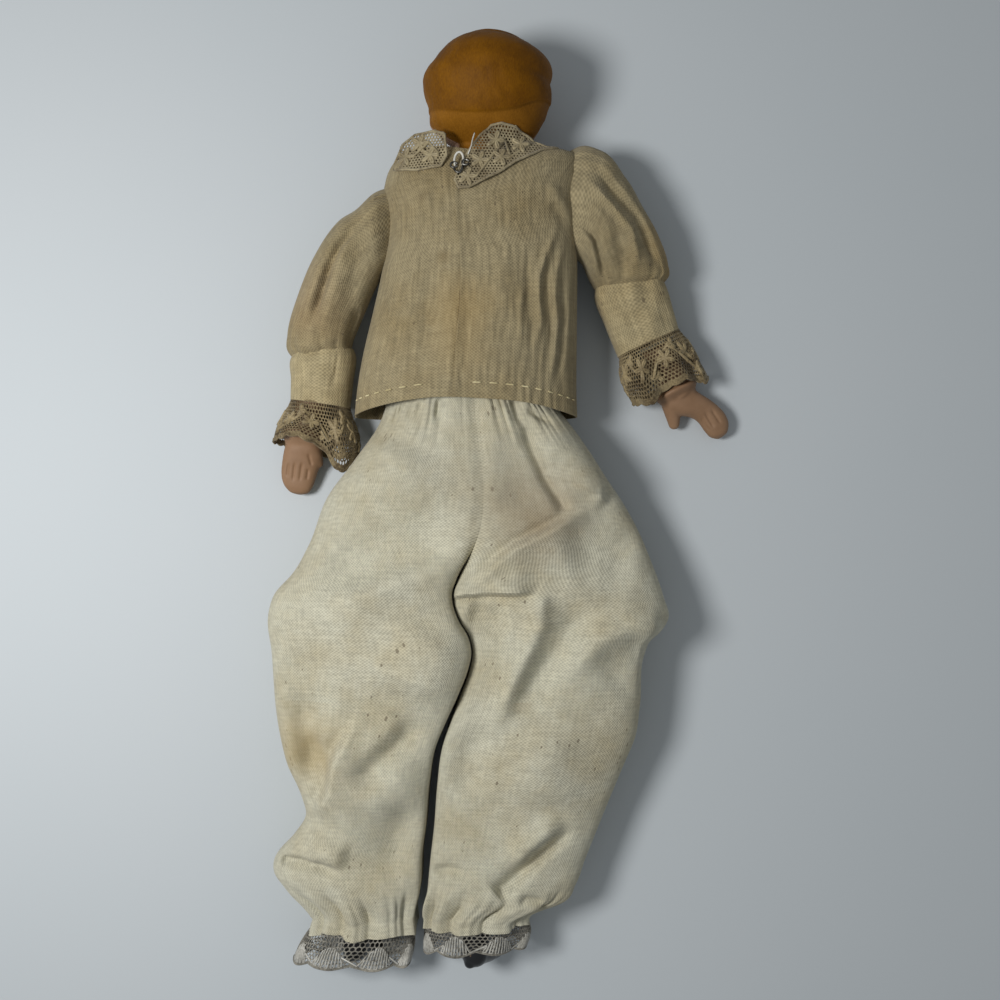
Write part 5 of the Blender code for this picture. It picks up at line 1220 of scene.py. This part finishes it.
# The bloomers: two legs of ivory cotton muslin, gathered on elastic at the waist and the ankles and
# joined by one seam down the middle.  They lie slack over the legs, in long slanting folds.
CLOTH_WALL = 0.35
WAIST_LINE = 19.5       # below the middle of the body, and so are all the places along a leg
KNEE_SPLIT = 83.5
BLOOMERS_ROUND = 92.0   # twice the visible breadth, with its gathers
WAIST_GATHERS, ANKLE_GATHERS = (20.0, 33.0), (122.5, 129.5)
FORK = (47.0, 63.0)     # where the seat, open at the middle seam, becomes two closed legs
BELOW_SEAT = 60.0
PLEATED, BROAD_PLEAT, FINE_PLEAT = 58.0, 6.4, 2.3
SEAM_HALF, SEAM_DEEP = 0.55, 0.45
BLOOMERS = {            # edges by (along, across); folds and laps by path, with what stroke and lap take
    "left": {
        "sign": -1.0, "ruffle": 134.2, "seeds": (11, 13),
        "outer": [(19, -16.5), (24, -18.2), (33, -24.2), (40, -29.4), (51, -33.8), (57, -37.2), (61, -40.8),
                  (65, -42.2), (74, -41.6), (90, -40.2), (98, -38.4), (105, -35.4), (109, -34.6),
                  (114, -37.6), (118.5, -41.4), (121.5, -41.4), (125, -38.4), (128, -34.8), (130, -33.2),
                  (134.5, -33.8)],
        "inner": [(19, 1.83), (51, 1.83), (57.5, -1.5), (61, -2.7), (66.5, -1.4), (70, 0.6), (73.5, 1.3),
                  (76.5, 0.7), (82.5, -1.6), (88, -4.0), (93.5, -6.3), (102, -7.8), (111, -8.6),
                  (117, -9.4), (124.5, -9.8), (130, -11.2), (134.5, -10.8)],
        "folds": [
            ([(-12.4, -28.7), (-15.5, -37), (-17.6, -43.3)], 8.0, 2.24),
            ([(-5.2, -62), (-2.7, -70.3), (-5.2, -80.9), (-8.4, -87.1)], 8.0, 2.88),
            ([(-33.8, -80.9), (-33.8, -91.3), (-32.2, -101.1)], 3.0, -2.56),
            ([(-13.7, -104.3), (-16.9, -114.8), (-18.1, -123.6)], 6.0, -1.6),
            ([(0, -47.8), (-9.3, -48.3), (-17.6, -49.7), (-25.9, -53.7), (-31.7, -57.8)], 4.2, -2.4),
            ([(-5.2, -67.1), (-9.3, -74.4), (-12.5, -83)], 8.0, 2.56),
            ([(-34.2, -70.3), (-34.5, -83), (-33.4, -92.4)], 4.0, -1.44),
            ([(-8.2, -86.1), (-13.6, -91.7), (-18.8, -96.7), (-23.6, -102)], 2.6, -2.56),
            ([(-13.2, -86.7), (-17.8, -91.7), (-21.5, -96.3)], 3.0, 1.28),
            ([(-9.4, -95.5), (-14.8, -102.2), (-21.1, -108.5)], 5.5, 2.24),
            ([(-30.7, -89.2), (-32.2, -97.6), (-33.5, -104.3)], 3.2, -2.56),
            ([(-39.8, -117.7), (-35.2, -117.9), (-30.5, -118.6), (-25.5, -120)], 1.2, -2.4, (0.1, 0.35),
             0.25),
            ([(-34.7, -114.8), (-29.5, -115.4), (-24.2, -116.9)], 3.0, 1.92),
            ([(-5.6, -20.9), (-5.8, -22.5), (-6, -25.4)], 0.6, -1.44, (0.0, 0.6)),
            ([(-9.3, -21.3), (-10.5, -25.6)], 0.7, -0.96, (0.0, 0.6)),
            ([(-13.5, -22.1), (-15.9, -26.7)], 0.8, -1.12, (0.0, 0.6)),
            ([(-14.5, -22.1), (-18.6, -28.7), (-24.9, -39.1)], 3.2, -1.28),
            ([(-16.4, -121.5), (-13.7, -110.6), (-11.2, -102.2)], 3.4, -1.6),
        ],
        "laps": [
            ([(-33.2, -63.2), (-23.8, -59.9), (-13.5, -56.6), (-5.2, -54.3), (2.7, -52.8)], 11.0, 3.6, 2.6,
             (0.3, 0.0)),
            ([(-33.3, -108), (-30.5, -104.3), (-29.1, -102), (-28.2, -96.3), (-25.1, -90.7),
              (-21.5, -84.8)], 9.0, 3.9, 1.2, (0.2, 0.45)),
        ],
    },
    "right": {
        "sign": 1.0, "ruffle": 132.8, "seeds": (12, 14),
        "outer": [(19, 17.5), (24, 21.6), (29.5, 25.6), (36, 29.8), (41, 33.2), (47, 36.6), (54, 39.6),
                  (62, 42.4), (66.5, 43.4), (69, 42.0), (71.5, 39.4), (74, 38.4), (85, 37.4), (92, 36.4),
                  (98.5, 33.8), (108, 30.0), (118.5, 25.8), (124, 23.6), (127.5, 20.6), (130, 14.6),
                  (134.5, 13.6)],
        "inner": [(19, 1.87), (51, 1.87), (57.5, -1.4), (61, -2.55), (66.5, -1.25), (70, 0.75), (73.5, 1.45),
                  (76.5, 1.0), (82.5, -1.0), (88, -3.0), (93.5, -4.9), (102, -6.1), (111, -6.8),
                  (117, -7.5), (124.5, -8.2), (130, -8.6), (134.5, -9.0)],
        "folds": [
            ([(5.2, -28.7), (9.8, -37), (11.5, -45.4)], 6.0, -1.12),
            ([(15.6, -25.6), (22.2, -31.2), (26.4, -37), (26.8, -40.8)], 4.2, 2.08, (0.3, 0.15)),
            ([(11.9, -24.2), (13.3, -28.7), (16.8, -36.6), (21.4, -43.9)], 1.3, -2.08, (0.15, 0.1)),
            ([(10, -20.9), (11, -24), (12.5, -26.7)], 0.9, -1.92, (0.0, 0.5)),
            ([(4, -20.4), (4.6, -22.5), (5.2, -25.4)], 0.6, -1.6, (0.0, 0.6)),
            ([(13.7, -22.7), (16.6, -24.4), (19.3, -25.4)], 0.7, -1.44, (0.0, 0.6)),
            ([(19.8, -53.7), (28.1, -50.5), (37.4, -53.7)], 7.0, -2.24),
            ([(13.5, -60.5), (15.6, -62.6), (15.4, -67.4), (12.7, -73.4), (8.3, -83), (5.2, -91.3)], 2.2,
             2.56, (0.1, 0.35)),
            ([(-0.2, -64.4), (5.6, -66.5), (9.8, -66.5)], 3.8, -2.24),
            ([(18.9, -62.4), (22.7, -66.5), (19.8, -71.9), (13.6, -80.9), (9, -88.2)], 3.2, -2.4,
             (0.2, 0.4)),
            ([(42, -66.9), (34.7, -67.6), (28.5, -69.8), (23.9, -74), (19.8, -80.9)], 3.0, 2.4,
             (0.1, 0.45)),
            ([(39.5, -72.3), (34.3, -74.4), (29.2, -80.9)], 4.5, -1.6),
            ([(17.7, -86.1), (16.7, -97.6), (14.7, -107.4)], 7.0, 2.24),
            ([(3.1, -87.1), (1, -95.5), (-0.7, -104.3)], 3.4, -1.92),
            ([(23.5, -109.9), (19.1, -113.7), (15.3, -116.7), (11.1, -121.1), (6.7, -125.1)], 1.7, -3.2,
             (0.3, 0.05), 0.3),
            ([(21.2, -108.5), (16.8, -111.8), (12.6, -115.2), (8.4, -119.2)], 3.0, 2.56),
            ([(10.9, -126.8), (13, -125.5), (15.3, -125.9), (17.4, -127)], 0.9, -1.6),
            ([(-8, -120.2), (-3.8, -119.4), (0.4, -120.2)], 1.1, -1.44),
        ],
        "laps": [
            ([(2.7, -57.8), (6.7, -53.4), (10.4, -50.7), (16.6, -47.6), (21.8, -44.7), (26.8, -42.9)], 6.0,
             3.0, 1.0, (0.1, 0.3)),
            ([(23.5, -25.4), (27.6, -32.1), (29.7, -37.9), (29.1, -41.2), (26, -43.3)], 5.0, 2.25, 1.2,
             (0.35, 0.2)),
            ([(15.6, -60.7), (9.4, -60.7), (3.1, -60.9), (-2.7, -61.5)], 5.0, 3.3, 0.6, (0.3, 0.05)),
            ([(42.2, -66.5), (39.5, -69.4), (37.4, -72.3), (36.9, -77.7), (36.5, -84)], 5.0, 1.5, 0.8,
             (0.25, 0.4)),
        ],
    },
}
LEG_HEIGHT = [(19, 20.6), (24, 20.8), (34, 21.2), (46, 21.4), (60, 21.2), (75, 20.7), (92, 19.4), (108, 17.4),
              (118, 17.0), (125, 16.8), (130, 15.2), (134.5, 15.4)]
# The seat: a brown stain in the right seat's hollow, and grey patches of painted shade in the hollows either
# side of the middle seam.
SEAT_DIRT_AND_SHADE = [((17.0, -44.0, 20.0), 9.0, 0.55, "#8C6E45"), ((9.0, -40.0, 20.0), 10.0, 0.45, "#958B78"),
             ((-8.0, -34.0, 20.0), 8.0, 0.18, "#9A917F")]
# The legs: a yellowed stain with painted shade in the hollow on the left leg's outer side, a brown patch
# darkening the valley down the right leg's inner side, and grey painted shade in the slanting fold below the
# left knee.
LEG_DIRT_AND_SHADE = [((-33.0, -93.0, 16.0), 9.0, 0.45, "#B39A66"), ((11.0, -81.0, 18.0), 3.5, 0.35, "#9C7A50"),
            ((-24.0, -100.0, 17.0), 5.0, 0.25, "#9A917F")]


def lap(x, y, path, width, height, crisp, ends):
    """Fold that laps over: a steep edge along the path, falling away slowly on its right hand."""
    off, hand, share = beside(x, y, path)
    off = np.where(hand > 0, off, -off)
    rise = ease(-crisp, crisp, off) * np.exp(-np.maximum(off, 0.0) / width)
    return height * fading(share, ends) * (rise - 0.25 * np.exp(-((off + 1.2 * crisp) / crisp) ** 2))


def bloomers_leg(shape):
    """One leg from the waist to its ruffled end, with its gathers, folds and seam."""

    def place(u, v):
        drop = WAIST_LINE + (shape["ruffle"] - WAIST_LINE) * v
        y = -drop
        outer, inner = profile(shape["outer"], drop), profile(shape["inner"], drop)
        top = profile(LEG_HEIGHT, drop)
        under = 2.2 * (1.0 - ease(20.0, 27.0, drop)) + 0.25
        middle, half = (top + under) / 2, (top - under) / 2
        pinch = ease(*FORK, drop)
        back, round_ = math.pi * u, math.tau * u
        centre = (inner + outer) / 2
        blunt = 0.62 - 0.42 * np.clip(np.cos(round_), 0.0, 1.0)
        rounded = np.round(np.sin(round_), 5)
        x = ((1.0 - pinch) * (inner + (outer - inner) * np.sin(back) ** 0.85)
             + pinch * (centre + (inner - outer) / 2 * np.cos(round_)))
        lift = (1.0 - pinch) * blunted(np.cos(back), 0.72) + pinch * blunted(rounded, blunt)
        girth = np.abs(outer - inner) * 2.2
        broad = gathers(u * PLEATED + 40.0, BROAD_PLEAT, shape["seeds"][0])
        fine = gathers(u * PLEATED + 9.0, FINE_PLEAT, shape["seeds"][1])
        waist = 0.12 * (1.0 - ease(*WAIST_GATHERS, drop)) * (0.5 * broad + 0.5 * fine - 0.5)
        ankle = ease(*ANKLE_GATHERS, drop) * (1.0 - 0.35 * ease(130.0, 131.0, drop))
        ankle = ankle * (0.30 * (broad - 0.5) + 0.06 * (fine - 0.5))
        puff = np.where(drop > BELOW_SEAT, ankle, waist * np.clip(np.abs(lift), 0.0, 1.0))
        puff = puff * ease(0.0, 0.04, u) * (1.0 - ease(0.96, 1.0, u))
        z = middle + half * lift * (1.0 + puff)
        x = np.where(drop > BELOW_SEAT, centre + (x - centre) * (1.0 + 0.5 * puff), x)
        crown = np.clip(lift, 0.0, 1.0) ** 0.6
        folds = (sum(stroke(x, y, *fold) for fold in shape["folds"])
                 + sum(lap(x, y, *fold) for fold in shape["laps"]))
        seam = np.exp(-((u * girth) / SEAM_HALF) ** 2) * (1.0 - ease(50.0, 60.0, drop))
        folds = folds * (1.0 - np.exp(-((u * girth) / 3.0) ** 2) * (1.0 - ease(50.0, 58.0, drop)))
        z = z + crown * (folds - SEAM_DEEP * seam + 0.16 * ripple(x, y, 9.0, 5) * ease(22.0, 34.0, drop))
        y = y + 0.9 * ripple(x, z * 3.0, 14.0, 7) * ease(120.0, 134.0, drop)
        return x, y, np.maximum(z, 0.2)

    return place


def ivory_muslin(name, length, dirt_and_shade):
    """Fine ivory muslin, washed soft: the threads show, with brown specks, stains and patches of painted
    shade in the hollows.
    """
    return woven(name, (BLOOMERS_ROUND, length), MUSLIN_THREAD, "#C2BEA9", "#B3A98C", 1.45, 0.0, dirt_and_shade)


for side, shape in BLOOMERS.items():
    whole = bloomers_leg(shape)
    split = (KNEE_SPLIT - WAIST_LINE) / (shape["ruffle"] - WAIST_LINE)
    seat = lay("bloomers_top_" + side, 230, 165, lambda u, v: whole(u, v * split))
    end = lay("bloomers_end_" + side, 230, 140, lambda u, v: whole(u, split + v * (1.0 - split)))
    for piece, length, dirt_and_shade, stands_for in ((seat, 64.0, SEAT_DIRT_AND_SHADE, "bloomers_seat_" + side),
                                            (end, 51.0, LEG_DIRT_AND_SHADE, "bloomers_leg_" + side)):
        thicken(piece, CLOTH_WALL)
        dress(piece, ivory_muslin("ivory muslin " + piece.name, length, dirt_and_shade), "ivory_muslin", stands_for)
    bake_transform(seat)
    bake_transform(end)

# The ankle frills: a narrow lace of silvery cotton and rayon thread, sewn under the edge of each leg.
# Its edge is worked in fans of close upright bars, which make the scallops.
ANKLE_FRILLS = {        # the tube it hangs in, and how far it stands up, round it
    "left": ([(0.0, -33.0, -132.8, -11.6, -132.8, 8.8, 5.2), (0.4, -35.6, -136.6, -11.2, -136.8, 8.2, 5.6),
              (1.0, -37.6, -140.6, -12.2, -141.2, 7.2, 5.6)],
             [(0.0, 0.0), (0.06, 1.2), (0.12, -0.4), (0.19, 1.0), (0.26, -0.6), (0.33, 0.8), (0.39, -0.5),
              (0.45, 0.9), (0.5, 0.0), (1.0, 0.0)]),
    "right": ([(0.0, 13.2, -131.4, -8.6, -131.6, 8.8, 5.2), (0.4, 14.0, -134.4, -9.1, -134.6, 8.2, 5.4),
               (1.0, 13.2, -137.2, -9.3, -138.4, 7.4, 5.4)],
              [(0.0, 0.0), (0.06, 1.4), (0.13, -1.0), (0.2, 1.0), (0.27, -0.9), (0.33, 0.6), (0.41, 1.2),
               (0.5, 0.0), (1.0, 0.0)]),
}
ANKLE_NET = (76, 10, 0.95, 0.20)
ANKLE_EDGES = (0.05, (-0.03, 0.97), 289, 0.22)
ANKLE_CUT = 0.0101      # length of the strip with its scallops, before it was sewn on
SCALLOPS, SCALLOP_DEEP = 8, 1.2
ANKLE_FLOSS = 0.22
BAR_EVERY, FAN_HALF = 0.62, 3.3


def fan_bars(x, long):
    """Points of the floss that runs up and down in the fan of one scallop."""
    path = []
    for k, off in enumerate(np.arange(-FAN_HALF, FAN_HALF + 0.01, BAR_EVERY)):
        tip = long * (0.60 - 0.34 * (off / FAN_HALF) ** 2)
        ends = [(x + 1.10 * off, long * 0.06), (x + 0.85 * off, tip)]
        (ax, ay), (bx, by) = ends if k % 2 == 0 else ends[::-1]
        path += [(ax + (bx - ax) * t, ay + (by - ay) * t) for t in (0.0, 0.33, 0.67, 1.0)]
    return np.array(path)


for side, (hangs, stands) in ANKLE_FRILLS.items():
    ring = tube(hangs, power=2.2)
    wide, long = net_size(ANKLE_NET)

    def ankle_shape(u, v):
        w = 1.0 - v
        x, y, z, _ = ring(u, np.clip(w, 0.0, 1.0))
        stand = profile(stands, np.mod(u, 1.0))
        z = z + stand * ease(0.0, 0.8, w)
        y = y - SCALLOP_DEEP * np.abs(np.sin(math.pi * u * SCALLOPS)) * ease(0.45, 1.0, w)
        y = y + 0.5 * stand * ease(0.2, 1.0, w)
        return x, y, np.maximum(z + 0.15 * ripple(x, y, 2.5, 57), 0.35)

    frill, threads = edged("ankle_frill_" + side, ANKLE_NET, ANKLE_EDGES, ankle_shape)
    run = np.concatenate([fan_bars((k + 0.5) * wide / SCALLOPS, long) for k in range(SCALLOPS)])
    floss = np.stack(ankle_shape(run[:, 0] / wide, run[:, 1] / long), 1)
    threads.append(corded("floss", floss, ANKLE_FLOSS))
    frill = trimmed(frill, threads, lace_thread("silvery cotton lace " + side, "#9C978A", "#57534A", 0.75),
                    lace_thread("rayon floss " + side, "#CBC8BE", "#8F8C82", 0.35))
    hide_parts("ankle_lace_" + side)
    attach(frill, "lower_leg_" + side)
    flat = (wide * MM, ANKLE_CUT)

# The ties and elastics: waxed linen thread wound round the limbs to hold the bisque, and white corded
# elastic run through the waist and the ankles.
for names, made in (
        (["arm_tie_left", "arm_tie_right", "leg_tie_left", "leg_tie_right"],
         lace_thread("waxed linen thread", "#9C8862", "#6B5A3C", 0.6)),
        (["waist_elastic", "ankle_elastic_left", "ankle_elastic_right"],
         lace_thread("white corded elastic", "#CFCABB", "#A39D8B", 0.8))):
    for name in names:
        bpy.data.objects[name].material_slots[0].material = made
